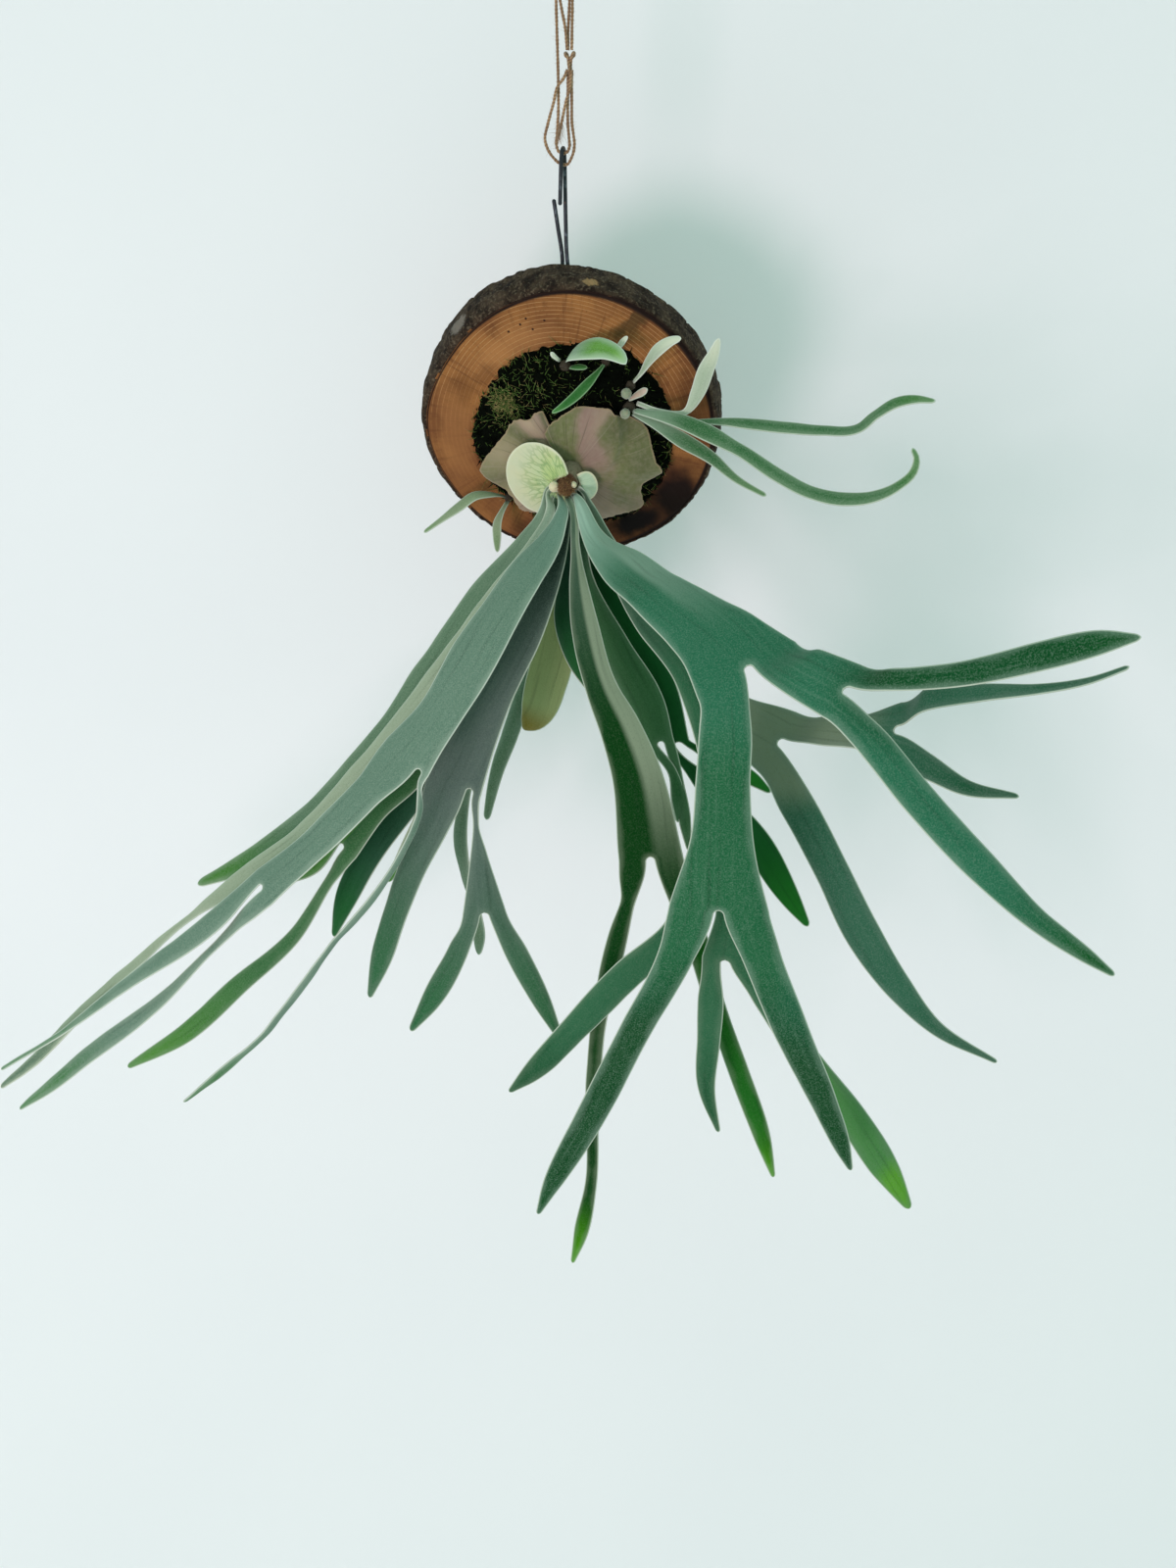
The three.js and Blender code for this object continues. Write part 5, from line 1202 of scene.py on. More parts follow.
# %% One blade
CUP, WAVE, WAVE_LENGTH, BUCKLE = 0.07, 0.035, 90.0, 0.35
SINUS_RADIUS, BLEND_LENGTH, FOOT_TWIST = 2.4, 34.0, 36.0
FOOT_RADIUS, FOOT_WIDTH = 7.9, 3.4
ROW_STEP = 2.8
EDGE_STEPS = np.array([0, 0.05, 0.17, 0.33, 0.5, 0.67, 0.83, 0.95, 1])


def blade(facing, stations, lobes=(), split=0.5):
    """Stations are right, front, up from the crown, and width. Facing is the way the upper face looks."""
    return {"facing": unit(np.array(facing, float) * FRONT), "lobes": list(lobes), "split": split,
            "stations": np.array(stations, float) * [1, -1, 1, 1]}


def foot(angle, depth, elbow=0, width=FOOT_WIDTH):
    """A frond's foot beside the rhizome: its angle from straight below, depth behind the bud, an elbow."""
    a = math.radians(angle)
    places = [(FOOT_RADIUS, depth)] + ([(elbow, depth - 3)] if elbow else [])
    out = math.sin(a) * RIGHT - math.cos(a) * UP
    return [(x, -y, z, width) for x, y, z in (radius * out - behind * OFF for radius, behind in places)]


def columns_of(shape):
    """Where its columns run across a blade, 0 to 1: close together at the edges of each lobe it will have."""
    if len(shape["lobes"]) < 2:
        return columns_of(shape["lobes"][0]) if shape["lobes"] else EDGE_STEPS
    left, right = (columns_of(lobe) for lobe in shape["lobes"])
    return np.concatenate([shape["split"] * left, shape["split"] + (1 - shape["split"]) * right[1:]])


def rows_along(length, forks, tip):
    """Distances of a blade's rows, with closer ones in the notch it leaves and in its round tip."""
    places = np.linspace(0, length, max(4, math.ceil(length / ROW_STEP)))
    if forks:
        places = np.append(places, SINUS_RADIUS * np.array([0.12, 0.35, 0.7, 1]))
    if tip:
        places = np.append(places, length - tip * np.array([0.02, 0.1, 0.25, 0.45, 0.7]))
    return np.unique(places.round(3))


def grow(shape, parts, start=None, clasps=False):
    """Adds the rows of one blade and then of its lobes to parts.

    point = midrib(s) + t * width * side + (cup * width * (1 - 4t²) + wave) * normal, with t across. A lobe
    leaves in its parent's plane: the parent's last row is carried along it and blended into its own rows, and
    its inner edge is drawn in round the notch."""
    across = columns_of(shape)
    rows = shape["stations"]
    if start:
        rows = np.vstack([np.append(start["centre"], start["width"]), rows])
    distances = np.append(0, np.cumsum(np.linalg.norm(np.diff(rows[:, :3], axis=0), axis=1)))
    length = distances[-1]
    first = None
    if start:
        first = (rows[1] - rows[0]) / distances[1]
        first[:3] = 0.5 * first[:3] + 0.5 * start["tangent"]
        first[:3] -= (first[:3] @ start["normal"]) * start["normal"]
    curve = through(distances, rows, first)
    tip = 0.9 * rows[-1, 3] if not shape["lobes"] else 0
    s = rows_along(length, bool(start and start["inner"]), tip)
    here = curve(s)
    tangent = unit(curve(np.minimum(length, s + 0.5))[:, :3] - curve(np.maximum(0, s - 0.5))[:, :3])
    normal = np.broadcast_to(shape["facing"], tangent.shape)
    if clasps:
        out = rows[0, :3] - OFF * (rows[0, :3] @ OFF)
        normal = normal + (1 - smoothstep(s, 0, FOOT_TWIST))[:, None] * (-unit(out) - normal)
    normal = unit(normal - tangent * (normal * tangent).sum(1, keepdims=True))
    side = np.cross(normal, tangent)
    width = here[:, 3:4]
    if tip:
        width = width * np.sqrt(np.clip(1 - np.clip((s - length + tip) / tip, 0, 0.997) ** 2, 0, 1))[:, None]
    t = across[None, :] - 0.5
    wave = WAVE * width * 2 * t * np.sin(2 * math.pi * s / WAVE_LENGTH)[:, None]
    rise = CUP * width * (1 - 4 * t * t) + wave
    points = here[:, None, :3] + (t * width)[..., None] * side[:, None] + rise[..., None] * normal[:, None]
    if start:
        carried = start["row"][None] + (here[:, None, :3] - start["centre"])
        blend = smoothstep(s, 0, min(BLEND_LENGTH, length * 0.6))[:, None, None]
        points = carried + blend * (points - carried)
        near = {1: across, -1: 1 - across, 0: 0 * across}[start["inner"]]
        round_in = np.sqrt(1 - (1 - np.minimum(s, SINUS_RADIUS) / SINUS_RADIUS) ** 2) * (1 - s / length)
        way = unit(np.gradient(points, axis=1))
        points = points - (start["inner"] * SINUS_RADIUS * near * round_in[:, None])[..., None] * way
    lateral = t * width + (start["lateral"] if start else 0)
    along = s[:, None] + (start["along"] if start else 0) + 0 * t
    reach = start["reach"] if start else np.maximum(width / 2, 1)
    values = np.stack([lateral, along, lateral / reach + 0 * along], -1)
    skip = 1 if start else 0
    done = sum(map(len, parts["points"]))
    index = done + np.arange((len(s) - skip) * len(across)).reshape(-1, len(across))
    grid = np.vstack([start["index"], index]) if start else index
    parts["points"].append(points[skip:].reshape(-1, 3))
    parts["lie"].append(values[skip:].reshape(-1, 3))
    parts["quads"].append(grid_quads(grid)[:, ::-1])
    shares = [1.0] if len(shape["lobes"]) < 2 else [shape["split"], 1 - shape["split"]]
    ends = np.zeros(len(across))
    begin = 0
    slot = len(parts["tip"])
    parts["tip"].append(None)
    for number, lobe in enumerate(shape["lobes"]):
        count = len(columns_of(lobe))
        picked = slice(begin, begin + count)
        row = points[-1, picked]
        offset = 0.0 if len(shares) == 1 else (-0.5 + (shares[0] / 2 if number == 0 else 0.5 + shares[0] / 2))
        child = {"row": row, "centre": (row[0] + row[-1]) / 2, "width": here[-1, 3] * shares[number],
                 "tangent": tangent[-1], "normal": normal[-1],
                 "inner": 0 if len(shares) == 1 else (1, -1)[number],
                 "lateral": (start["lateral"] if start else 0) + offset * here[-1, 3],
                 "along": length + (start["along"] if start else 0), "index": grid[-1, picked],
                 "reach": max(here[-1, 3] / 2, 1)}
        ends[picked] = np.maximum(ends[picked], grow(lobe, parts, child))
        begin += count - 1
    parts["tip"][slot] = (length - s[skip:, None] + ends).reshape(-1)
    return length + ends


def blade_sheet(shape, clasps):
    """The whole sheet of a frond: points in place, quads, its lie, distance to the tip and to the rim."""
    parts = {"points": [], "lie": [], "quads": [], "tip": []}
    grow(shape, parts, clasps=clasps)
    points, lie, quads = (np.concatenate(parts[key]) for key in ("points", "lie", "quads"))
    return points, quads, lie, np.concatenate(parts["tip"])


def blade_piece(name, node, shape, finish, slot, half, clasps=False, seed=0):
    """A frond or leaf as a piece: its sheet gently buckled, thinner over the last 2 mm to the rim."""
    points, quads, lie, tip = blade_sheet(shape, clasps)
    edge = from_rim(points, quads)
    buckle = BUCKLE * smoothstep(lie[:, 1], 20, 80) * relief(points, 42, 70 + seed, 1)
    points = points + sheet_normals(points, quads) * buckle[:, None]
    return sheet_piece(name, points + CROWN, quads, finish, slot, [node], half, lie, edge, 1.8, tip=tip)


# %% [markdown]
# ### Felted leaf
#
# A frond is green tissue under a felt of star-shaped hairs. Where the felt is thick, at the root, along the
# margins and on young tips, it looks pale grey green; in the middle of the blade the green shows through.
# The rim itself is a thin pale line, partly felt and partly painted highlight. Fine veins run lengthwise.
# Felt scatters light at grazing angles, so the shader has sheen and no gloss to speak of. The underside is
# dull grey beige.

# %% Finish of fronds and leaves
def leaf_finish(name, root, middle, tip, felt, touches=(), felted=0.5, margin=0.35, tip_reach=90.0,
                root_reach=110.0, rim="#bfcdba", pale_half=None, sheen=0.07):
    """Felted frond: root, middle and tip colour, lengthwise veins, felt in tufts and at the margin, pale rim,
    partly felt and partly painted highlight.

    Touches are soft ellipsoids counted from the crown, (place, radii, strength, colour), for single spots.
    A pale half lays the felt colour over one side of the blade near the root, partly felt and partly painted
    light
    on the side that faces the light: (where it begins across, 0 to 1, how strong, how far from the root it
    fades out)."""
    finish, put, shader = new_finish(name, 0.62)
    lie = put("Attribute", attribute_name="lie", output="Vector")
    edge = put("Attribute", attribute_name="edge", output="Fac")
    place = place_in_mm(put)
    along = put("SeparateXYZ", {"Vector": lie}, output="Y")
    from_tip = put("Attribute", attribute_name="tip", output="Fac")
    tone = coat(put, root, along, 12.0, root_reach, middle)
    tone = coat(put, tone, from_tip, tip_reach, 2.0, tip)
    for spot, radii, strength, shade in touches:
        share = soft_spot(put, place, CROWN + np.array(spot) * FRONT, radii, strength, 0.7, 1.25)
        tone = put("Mix", {"Factor": share, "A": tone, "B": shade}, **COLOURS)
    # Pale over one side of the blade: partly felt, partly painted light.
    if pale_half:
        begins, strength, fades = pale_half
        ratio = put("SeparateXYZ", {"Vector": lie}, output="Z")
        fade = put("MapRange", {"Value": along, "From Min": fades, "From Max": fades - 110,
                                "To Max": strength}, **SMOOTH)
        tone = coat(put, tone, ratio, begins, begins + 0.35, felt, fade)
    lengthwise = put("VectorMath", {0: lie, 1: (1.0, 0.03, 0.0)}, operation="MULTIPLY")
    veins = put("TexNoise", {"Vector": lengthwise, "Scale": 1 / 2.6, "Detail": 2.0})
    tone = coat(put, tone, veins, 0.5, 0.8, "#0d2b1a", 0.3)
    tone = coat(put, tone, veins, 0.46, 0.2, felt, 0.4 * felted)
    tufts = put("TexNoise", {"Vector": place, "Scale": 1 / 0.85, "Detail": 3.0, "Roughness": 0.65})
    speckle = put("MapRange", {"Value": tufts, "From Min": 0.42, "From Max": 0.7, "To Max": 0.75 * felted},
                  **SMOOTH)
    tone = put("Mix", {"Factor": speckle, "A": tone, "B": felt}, **COLOURS)
    tone = coat(put, tone, tufts, 0.44, 0.28, "#0d2b1a", 0.22)
    clouds = put("TexNoise", {"Vector": place, "Scale": 1 / 26, "Detail": 2.0})
    reach = put("MapRange", {"Value": clouds, "From Min": 0.3, "From Max": 0.7, "To Min": 2.5, "To Max": 7.0})
    share = put("MapRange", {"Value": edge, "From Min": 0.0, "From Max": reach, "To Min": margin,
                             "To Max": 0.0}, **SMOOTH)
    tone = put("Mix", {"Factor": share, "A": tone, "B": felt}, **COLOURS)
    # A thin pale line along the rim: partly felt, partly painted highlight on the turned margin.
    tone = coat(put, tone, edge, 1.0, 0.25, rim, 0.85)
    below = put("Attribute", attribute_name="under", output="Fac")
    side = put("Mix", {"Factor": speckle, "A": "#8d9680", "B": "#b4baa5"}, **COLOURS)
    tone = put("Mix", {"Factor": below, "A": tone, "B": side}, **COLOURS)
    ended(shader, tone, put("Math", {0: tufts, 1: veins}, operation="ADD"), 0.16)
    shader.inputs["Sheen Weight"].default_value = sheen
    shader.inputs["Sheen Roughness"].default_value = 0.4
    shader.inputs["Specular IOR Level"].default_value = sheen
    return finish


# Deeper green where the arch hangs down as a strap and over its fingers, which face front while the arch's
# top faces up: partly their own green under less felt, partly painted shade.
STRAP_GREEN_AND_SHADE = ((124, 224, -180), (60, 60, 95), 0.9, "#165c35")
LOBES_GREEN_AND_SHADE = ((110, 200, -360), (130, 90, 120), 0.95, "#003f16")
FINISHES = {
    # The arch's top faces up: its pale root and pale half are partly felt and partly painted light.
    "arch": leaf_finish("felted_arching_frond", "#a8c6b4", "#276b4d", "#004f16", "#88a491",
                        [((262, 262, -40), (80, 60, 45), 0.95, "#00461c"), STRAP_GREEN_AND_SHADE, LOBES_GREEN_AND_SHADE], 0.33,
                        root_reach=140, pale_half=(-0.1, 0.75, 235)),
    "inner": leaf_finish("felted_inner_frond", "#46594e", "#2b6342", "#164e2c", "#6d876f",
                         [((215, 156, -370), (55, 60, 90), 0.85, "#4a8544"),
                          ((250, 148, -430), (26, 40, 42), 0.8, "#569a20")], felted=0.3, root_reach=230),
    "back": leaf_finish("felted_grey_back_frond", "#5d6f58", "#30634a", "#124f30", "#6f8577",
                        [((150, 135, -112), (60, 46, 44), 0.9, "#75856c")]),
    # The dark, deep and behind finishes are darker copies for fronds that hang in the shade of others:
    # painted shade.
    "dark": leaf_finish("dark_shaded_frond", "#0b2618", "#175428", "#1f6e22", "#35593f", felted=0.15,
                        margin=0.2, sheen=0.03),
    "deep": leaf_finish("deep_shaded_frond", "#1f3a30", "#234d36", "#1d5c2a", "#4c6b57", felted=0.2,
                        margin=0.3, sheen=0.03),
    "behind": leaf_finish("shaded_behind_frond", "#1c4530", "#3d6c44", "#2b5c34", "#6d8a70", felted=0.25,
                          margin=0.3, tip_reach=60, sheen=0.03),
    # The centre frond's pale half is the light ridge along it: partly felt, partly painted highlight.
    "centre": leaf_finish("felted_centre_frond", "#4c6654", "#003a0c", "#418c00", "#95a68b",
                          [((130, 136, -330), (42, 60, 100), 0.8, "#1d6a1c")], felted=0.1, margin=0.3,
                          pale_half=(0.0, 0.8, 290), tip_reach=70, root_reach=190, sheen=0.03),
    "left_grey": leaf_finish("slate_grey_frond", "#122b22", "#566860", "#28623a", "#7a8c7d", felted=0.35,
                             tip_reach=190, root_reach=170, sheen=0.05),
    "left_pale": leaf_finish("sage_felted_frond", "#6d9180", "#64826f", "#2c7226", "#8fa492", felted=0.6,
                             margin=0.6, tip_reach=125, rim="#ccd8c8"),
    "left_mid": leaf_finish("beige_felted_frond", "#7f9884", "#98a78d", "#4a6c55", "#b0bda5", margin=0.5,
                            tip_reach=170, rim="#ccd6c4"),
    "left_out": leaf_finish("olive_grey_frond", "#728a74", "#5c7a5f", "#38781c", "#93a78f", felted=0.4,
                            margin=0.5, tip_reach=95, rim="#c8d4c2"),
    "left_under": leaf_finish("green_under_frond", "#3c5946", "#3a6c40", "#4f8a38", "#7f997c", felted=0.35,
                              tip_reach=170),
    "old": leaf_finish("old_olive_frond", "#8a9970", "#98a872", "#80742f", "#9ca078", felted=0.3, margin=0.2,
                       tip_reach=26, sheen=0.05),
    "thin_green": leaf_finish("felted_thin_frond", "#748a72", "#5b7a60", "#5d7a5c", "#90a795"),
}

# %% [markdown]
# ### The sixteen fronds
#
# Each is named for where it hangs. Widths and places are in millimetres from the crown. A pair of lobes
# stands in brackets after the stations of the blade that forks into them, left one first.

# %% Stations of the fronds on the right
FRONT_FACING = [0, 1, 0.2]

RIGHT_FRONDS = [
    ("right_arch", "arch", "frond", blade([0.1, 0.75, 0.65], [
        *foot(42, 1), [11, 12, -7, 7], [22, 36, -20, 13], [50, 90, -28, 29], [82, 146, -32, 36],
        [104, 174, -38, 41], [119, 192, -43, 50], [134, 206, -54, 64]], [
        blade([0.05, 1, 0.2], [
            [125, 221, -80, 31], [125, 225, -114, 31], [125, 222, -148, 36], [124, 218, -190, 56]], [
            blade([0.1, 1, 0.2], [
                [101, 214, -225, 23], [77, 206, -281, 20], [46, 196, -356, 19], [20, 188, -414, 11],
                [11, 185, -438, 3]]),
            blade(FRONT_FACING, [
                [148, 216, -220, 24], [167, 210, -270, 22], [188, 200, -321, 17], [203, 192, -361, 10],
                [209, 190, -378, 3]])]),
        blade([0.1, 0.8, 0.6], [
            [164, 229, -46, 32], [186, 246, -50, 36]], [
            blade([0.3, 0.9, 0.3], [
                [197, 250, -69, 19], [226, 252, -102, 20], [264, 250, -142, 18], [294, 246, -171, 13],
                [322, 242, -192, 8], [337, 240, -203, 3]]),
            blade([0, 0.9, 0.5], [
                [209, 258, -39, 14], [242, 268, -31, 14], [275, 276, -18, 15], [302, 280, -8, 12],
                [319, 282, -4, 3]])])])),
    ("right_inner", "inner", "frond", blade([-0.1, 0.9, 0.4], [
        *foot(24, 5.9, 12.4), [12, 10, -14, 6], [29, 34, -29, 10], [67, 100, -56, 20], [102, 160, -76, 22],
        [120, 182, -112, 26], [121, 184, -160, 26], [118, 180, -193, 39]], [
        blade([0.2, 0.95, 0.2], [
            [99, 176, -226, 20], [66, 170, -265, 21], [35, 164, -306, 19], [5, 158, -346, 14],
            [-13, 154, -367, 3]]),
        blade(FRONT_FACING, [
            [128, 176, -217, 20], [126, 172, -247, 28]], [
            blade([-0.1, 1, 0.2], [
                [119, 170, -275, 18], [118, 168, -306, 16], [117, 164, -345, 12], [125, 160, -379, 3]]),
            blade([0.2, 1, 0.1], [
                [148, 168, -272, 17], [177, 164, -317, 18], [208, 158, -361, 20], [233, 152, -403, 18],
                [250, 148, -433, 5]])])])),
    ("right_back", "back", "frond_grey", blade([0.1, 0.85, 0.5], [
        *foot(66, 6, 13), [16, 1, -11, 6], [30, 22, -28, 9], [69, 65, -64, 20], [96, 92, -92, 23],
        [118, 108, -112, 28], [151, 128, -123, 44]], [
        blade([0.1, 1, 0.3], [
            [165, 140, -158, 23], [187, 144, -197, 22], [208, 144, -238, 23], [231, 140, -274, 18],
            [257, 136, -304, 10], [297, 130, -329, 3]]),
        blade([0.1, 0.7, 0.7], [
            [175, 142, -109, 22], [197, 150, -106, 23], [217, 157, -102, 40]], [
            blade([0.1, 0.8, 0.6], [[235, 164, -118, 16], [258, 164, -130, 11], [288, 162, -135, 3]]),
            blade([-0.2, 0.6, 0.8], [
                [233, 168, -78, 18], [260, 174, -71, 14], [290, 178, -66, 8], [315, 180, -59, 5],
                [335, 180, -50, 3]])])])),
    ("right_dark", "dark", "frond_dark", blade([-0.2, 0.9, 0.4], [
        *foot(42, 9.2, 14.5), [13, -5, -16, 6], [20, 7, -44, 9], [47, 27, -86, 15], [72, 48, -118, 17],
        [83, 56, -153, 16]], [
        blade([0, 1, 0.3], [
            [98, 60, -174, 14], [114, 64, -190, 18], [139, 65, -219, 21], [158, 66, -250, 16],
            [174, 66, -275, 4]]),
        blade([0.1, 0.9, 0.5], [
            [99, 64, -156, 12], [117, 69, -163, 12], [133, 71, -170, 10], [145, 72, -178, 3]])]))]

# %% Stations of the fronds in the middle
MIDDLE_FRONDS = [
    ("centre", "centre", "frond", blade([-0.05, 0.95, 0.35], [
        *foot(2, 1), [8, 16, -13, 5], [13, 40, -30, 6], [25, 76, -72, 18], [39, 98, -105, 20],
        [53, 112, -126, 26], [64, 122, -149, 31], [75, 132, -201, 40]], [
        blade([-0.2, 1, 0.2], [
            [64, 136, -225, 12], [57, 138, -255, 15], [44, 138, -324, 12], [40, 136, -378, 11],
            [38, 132, -451, 9], [31, 130, -491, 11], [24, 128, -521, 3]]),
        blade([0.1, 1, 0.2], [
            [93, 136, -225, 17], [105, 138, -255, 16], [118, 138, -299, 14], [134, 136, -346, 14],
            [151, 132, -396, 12], [161, 128, -433, 3]])])),
    ("centre_back", "behind", "frond_dark", blade([-0.1, 0.95, 0.4], [
        *foot(4, 9.2, 14), [7, -2, -20, 5], [19, 24, -56, 8], [41, 48, -93, 19], [64, 64, -127, 23],
        [73, 70, -148, 18]], [
        blade([0.7, 0.7, 0.2], [[82, 74, -166, 8], [86, 76, -186, 11], [86, 76, -201, 3]]),
        blade([0, 1, 0.3], [[85, 72, -172, 7], [90, 75, -198, 9], [94, 76, -221, 3]])]))]

# %% Stations of the fronds on the left
LEFT_FRONDS = [
    ("left_grey", "left_grey", "frond_grey", blade([-0.3, 0.85, 0.4], [
        *foot(-16, 6.3, 12.8), [2, 8, -17, 6], [2, 24, -31, 9], [-3, 46, -49, 17], [-12, 68, -77, 23],
        [-32, 90, -118, 26], [-54, 104, -169, 43]], [
        blade([-0.2, 0.95, 0.3], [
            [-68, 110, -198, 26], [-83, 112, -230, 21], [-95, 112, -261, 19], [-107, 110, -295, 17],
            [-120, 106, -333, 4]]),
        blade([0.2, 0.95, 0.3], [
            [-41, 112, -194, 5], [-39, 114, -216, 12], [-36, 114, -257, 28]], [
            blade([-0.1, 1, 0.2], [[-54, 113, -289, 16], [-74, 111, -327, 15], [-91, 108, -355, 4]]),
            blade([0.1, 1, 0.2], [[-16, 114, -285, 17], [1, 112, -322, 13], [14, 110, -352, 4]])])], 0.82)),
    ("left_front", "left_pale", "frond_pale", blade([-0.35, 0.75, 0.55], [
        *foot(-38, 1), [0, 12, -11, 7], [-3, 36, -24, 19], [-16, 70, -44, 30], [-34, 102, -75, 36],
        [-57, 128, -116, 35], [-76, 138, -142, 44]], [
        blade([-0.35, 0.7, 0.6], [
            [-102, 148, -166, 28], [-133, 156, -197, 25], [-166, 162, -226, 30]], [
            blade([-0.3, 0.75, 0.6], [
                [-195, 166, -247, 18], [-221, 168, -269, 16], [-263, 170, -300, 11], [-312, 170, -340, 5],
                [-364, 168, -376, 3]]),
            blade([-0.3, 0.8, 0.5], [
                [-204, 164, -271, 7], [-247, 164, -316, 11], [-297, 162, -358, 13], [-336, 160, -393, 9],
                [-361, 158, -414, 3]])]),
        blade([0.85, 0.5, 0.1], [
            [-73, 136, -184, 9], [-93, 136, -224, 9], [-133, 134, -277, 9], [-199, 128, -366, 9],
            [-232, 124, -398, 9], [-256, 122, -421, 4]])], 0.84)),
    ("left_middle", "left_mid", "frond_pale", blade([-0.35, 0.7, 0.6], [
        *foot(-66, 7, 13.2), [-9, 6, -13, 6], [-16, 26, -33, 13], [-37, 54, -66, 25], [-65, 80, -108, 28],
        [-94, 96, -145, 28], [-132, 108, -188, 22], [-165, 116, -219, 19], [-202, 122, -246, 16],
        [-234, 126, -270, 6], [-271, 128, -303, 8], [-318, 130, -347, 9], [-362, 128, -393, 10],
        [-393, 126, -420, 4]])),
    ("left_outer", "left_out", "frond_pale", blade([-0.3, 0.75, 0.6], [
        *foot(-71, 9.9, 13.4), [-14, 2, -15, 7], [-25, 15, -34, 14], [-49, 38, -68, 29],
        [-76, 56, -112, 33], [-107, 70, -154, 30], [-140, 78, -191, 24], [-173, 84, -220, 19],
        [-208, 88, -246, 16], [-243, 90, -264, 6]])),
    ("left_under", "left_under", "frond", blade([-0.2, 0.9, 0.4], [
        *foot(-36, 9.2, 14), [-6, -1, -22, 5], [-12, 14, -43, 10], [-32, 42, -87, 18], [-59, 62, -134, 24],
        [-84, 78, -178, 35]], [
        blade([-0.3, 0.8, 0.5], [
            [-113, 90, -200, 21], [-134, 96, -224, 26]], [
            blade([-0.3, 0.7, 0.6], [[-154, 100, -240, 12], [-177, 102, -252, 4]]),
            blade([-0.3, 0.9, 0.3], [
                [-145, 94, -248, 10], [-177, 94, -298, 12], [-219, 92, -339, 15], [-263, 90, -383, 15],
                [-314, 86, -420, 4]])]),
        blade([0.5, 0.8, 0.2], [[-88, 82, -210, 9], [-99, 82, -235, 9], [-110, 80, -257, 4]])], 0.7)),
    ("left_dark", "deep", "frond_dark", blade([-0.2, 0.95, 0.3], [
        *foot(-46, 11.6, 12.8), [-8, -9, -22, 5], [-14, 4, -48, 8], [-30, 24, -96, 17], [-60, 42, -148, 22],
        [-99, 52, -201, 24], [-128, 58, -245, 20], [-148, 58, -282, 17], [-160, 56, -315, 4]]))]

# %% Stations of the fronds behind the others
HIDDEN_FRONDS = [
    ("short_dark", "deep", "frond_dark", blade([0.1, 0.95, 0.3], [
        *foot(20, 12.4, 16), [4, -8, -24, 5], [3, 10, -52, 8], [4, 22, -81, 17], [12, 28, -109, 14],
        [24, 30, -133, 4]])),
    ("old_olive", "old", "frond_old", blade([0.1, 0.95, 0.3], [
        *foot(6, 15.6, 17.5), [6, -18, -26, 5], [2, -11, -63, 14], [-6, -6, -100, 26], [-14, -2, -134, 29],
        [-23, 0, -161, 21], [-31, 0, -171, 9]])),
    ("thin_dark", "thin_green", "frond_dark", blade([-0.2, 0.9, 0.4], [
        *foot(-14, 12.6, 16), [-3, -16, -33, 5], [-10, -20, -76, 8], [-25, -17, -121, 11],
        [-34, -13, -152, 12], [-43, -9, -180, 13], [-52, -6, -206, 11], [-60, -4, -243, 5]])),
    ("thin_green", "thin_green", "frond", blade([-0.6, 0.8, 0.3], [
        *foot(-94, 13.2), [-14, -13, -24, 4], [-17, -6, -53, 5], [-36, 14, -108, 8], [-55, 26, -172, 8],
        [-66, 33, -212, 9], [-70, 36, -242, 14], [-66, 38, -268, 13], [-60, 38, -294, 11],
        [-58, 38, -315, 12], [-59, 38, -331, 6]]))]

# %% Making the fronds
FROND_HALF = 0.66
FRONDS = RIGHT_FRONDS + MIDDLE_FRONDS + LEFT_FRONDS + HIDDEN_FRONDS
for number, (name, finish, slot, shape) in enumerate(FRONDS):
    blade_piece("felted_" + name, "frond_" + name, shape, FINISHES[finish], slot, FROND_HALF, True, number)

# %% [markdown]
# ### Leaves of the plantlets
#
# The plantlets in the moss have simple leaves: one broad and glossy green, some narrow and arching, and
# young ones that are still white with felt.

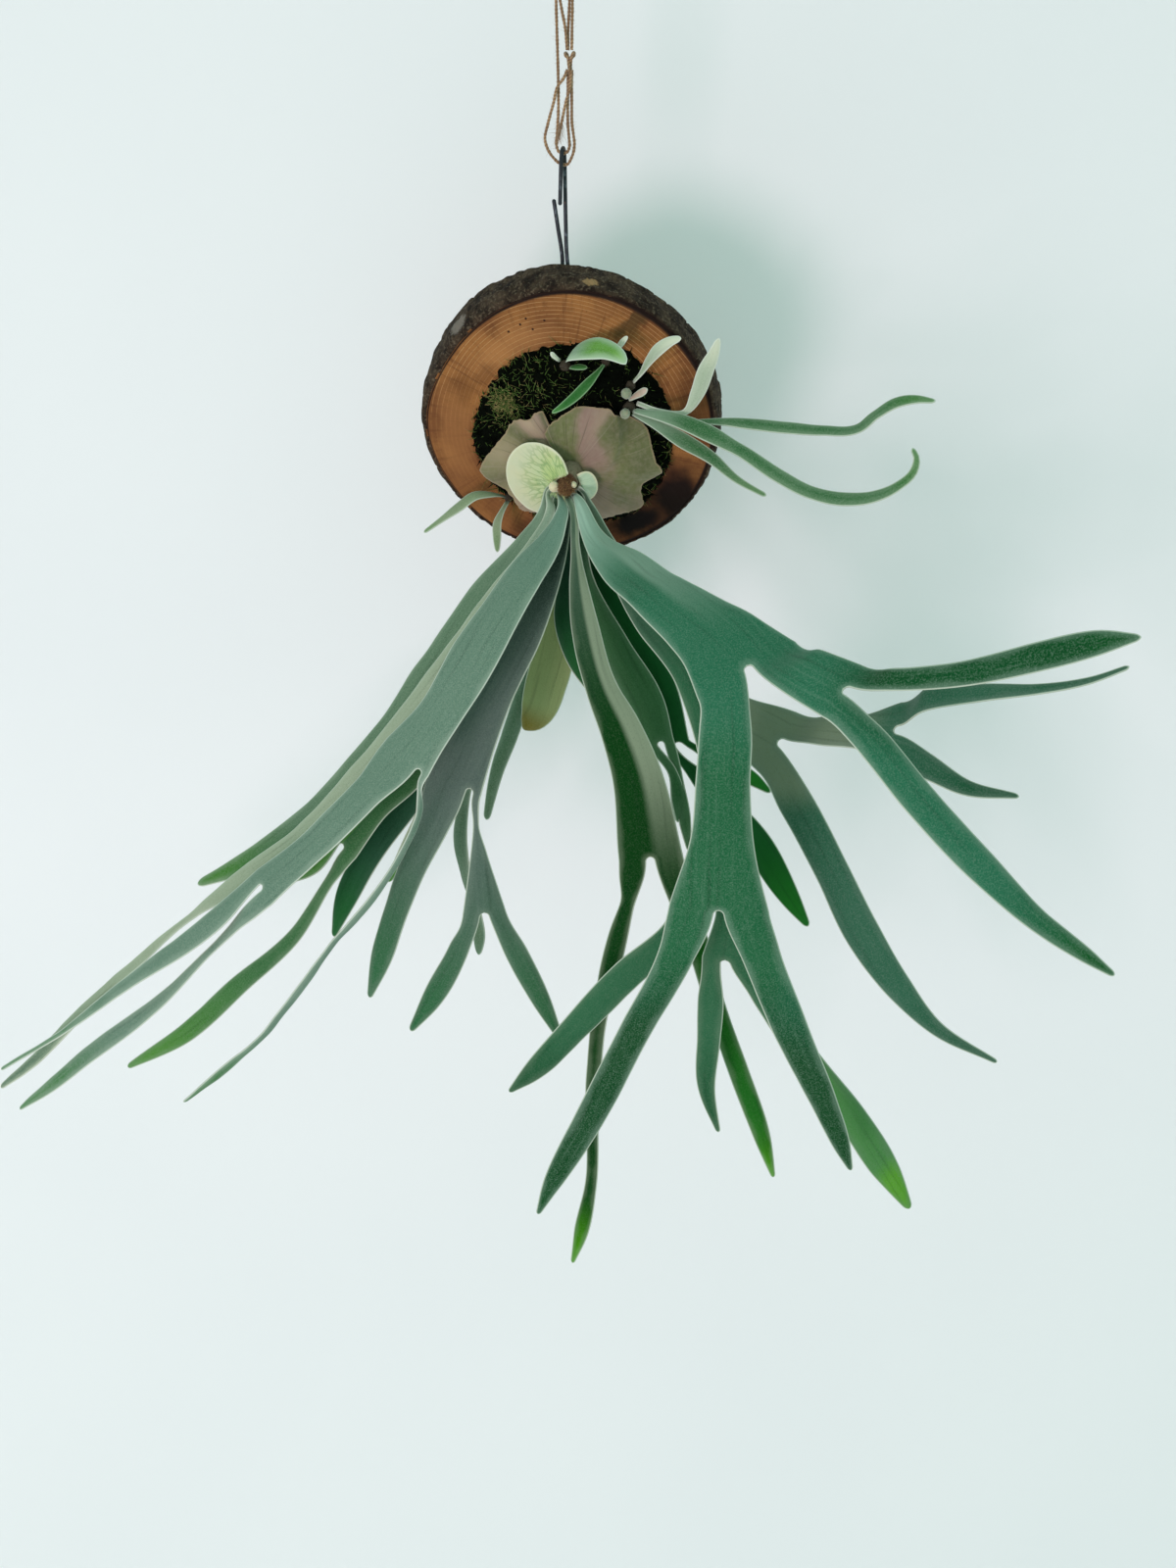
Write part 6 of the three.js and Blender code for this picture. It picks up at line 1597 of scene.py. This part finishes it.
# %% Stations of the leaves
LEAVES = [
    ("pup_top_leaf_broad", "broad", blade([-0.2, 0.6, 0.8], [
        [0.6, -3.6, 80.2, 3], [4, 1, 84, 9], [11, 6, 88, 16], [21, 12, 90, 18], [31, 16, 89, 14],
        [39, 20, 85, 8], [42, 22, 82, 3]])),
    ("pup_top_leaf_small", "green", blade([0, 0.7, 0.7], [
        [2.6, -4.4, 76.2, 3], [8, 0, 77, 5], [15, 4, 77, 3]])),
    ("pup_top_leaf_nub", "pale", blade([-0.1, 0.9, 0.4], [
        [-4, -5, 80, 2], [-7, -1, 83, 3], [-9, 1, 86, 3]])),
    ("pup_top_leaf_dark", "green", blade([0.3, 0.8, 0.5], [
        [24.1, -5.6, 78, 2], [22, 1, 75, 3], [16, 6, 68, 6], [7, 10, 59, 6], [-1, 13, 53, 4],
        [-6, 14, 50, 2]])),
    ("pup_top_leaf_behind", "pale", blade([-0.3, 0.9, 0.3], [
        [26.6, -6.7, 82, 2], [33, 1, 88, 3], [38, 4, 94, 4], [41, 6, 97, 2]])),
    ("pup_side_leaf_upright", "pale", blade([-0.2, 0.9, 0.3], [
        [43, -9, 67, 2], [49, 0, 74, 3], [55, 6, 83, 6], [61, 12, 90, 8], [70, 17, 96, 6], [76, 20, 98, 3]])),
    ("pup_side_leaf_pink", "pink", blade([-0.2, 0.9, 0.3], [
        [40, -10.5, 55.6, 2], [45, -7, 59, 4], [50, -4, 62, 5], [53, -2, 64, 3]])),
    ("pup_side_leaf_pale", "pale", blade([0.1, 1, 0.2], [
        [45, -12, 53.5, 3], [61, -4, 50, 3], [78, 3, 51, 4], [86, 8, 64, 9], [91, 12, 78, 10],
        [96, 15, 89, 7], [99, 17, 98, 3]])),
    ("pup_side_frond_upper", "leaf", blade([0.1, 0.7, 0.7], [
        [44, -14, 49, 3], [61, -11, 45, 3], [80, 0, 44, 4], [92, 8, 46, 5], [120, 24, 48, 9],
        [142, 36, 48, 9], [166, 50, 49, 8], [187, 62, 53, 8], [196, 69, 62, 7], [207, 76, 70, 8],
        [218, 82, 73, 6], [228, 88, 73, 3]])),
    ("pup_side_frond_lower", "leaf", blade([0, 0.75, 0.65], [
        [43, -10, 49, 3], [73, 10, 47, 10], [94, 26, 42, 12], [116, 40, 34, 9], [141, 56, 22, 9],
        [161, 68, 15, 9], [181, 78, 14, 10], [197, 84, 17, 8], [210, 88, 24, 6], [219, 90, 34, 5],
        [220, 90, 41, 4], [217, 90, 47, 3]])),
    ("pup_side_frond_short", "leaf", blade([-0.1, 0.85, 0.5], [
        [42.5, -12, 46.8, 3], [57, -5, 42, 6], [77, 4, 33, 10], [96, 12, 24, 8], [113, 18, 12, 5],
        [132, 22, 3, 3]])),
    ("pup_left_leaf_out", "sage", blade([-0.1, 0.7, 0.7], [
        [-49.4, -38.8, -15.3, 3], [-57, -27, -12, 6], [-66, -20, -12, 8], [-76, -17, -19, 8],
        [-87, -15, -27, 5], [-101, -15, -37, 3]])),
    ("pup_left_leaf_down", "sage", blade([-0.1, 0.95, 0.3], [
        [-47.3, -38.5, -19, 3], [-50, -30, -25, 4], [-52, -26, -31, 6], [-52, -24, -41, 6],
        [-52, -24, -51, 3]]))]

# %% Making the leaves
LEAF_FINISHES = {
    "leaf": leaf_finish("felted_leaf", "#7d9a80", "#36693d", "#447a38", "#8da489", tip_reach=40,
                        root_reach=50),
    "sage": leaf_finish("sage_young_leaf", "#838f72", "#7a8f6b", "#5f8450", "#9dab8f", tip_reach=20,
                        root_reach=30),
    "broad": leaf_finish("young_broad_leaf", "#86a488", "#63983c", "#8cb866", "#a9c3a4", felted=0.3,
                         margin=0.9, tip_reach=14, root_reach=30, rim="#d3e0cf"),
    "green": leaf_finish("dark_young_leaf", "#1c5a1c", "#215f22", "#33702c", "#6f9a68", felted=0.2,
                         margin=0.2, tip_reach=12, root_reach=20, rim="#8bb083"),
    "pale": leaf_finish("woolly_young_leaf", "#6f8e66", "#a0b398", "#d2d9bd", "#bccab4", margin=0.6,
                        tip_reach=26, root_reach=32, rim="#d4dccd"),
    "pink": leaf_finish("unfolding_leaf", "#8f8a70", "#ae957e", "#c4ad9a", "#c4b6a6", margin=0.5, tip_reach=8,
                        root_reach=10)}
LEAF_HALF = 0.46
for number, (name, finish, shape) in enumerate(LEAVES):
    slot = "leaf" if finish in ("leaf", "sage", "broad", "green") else "leaf_pale"
    blade_piece("felted_" + name, name, shape, LEAF_FINISHES[finish], slot, LEAF_HALF, False, 30 + number)
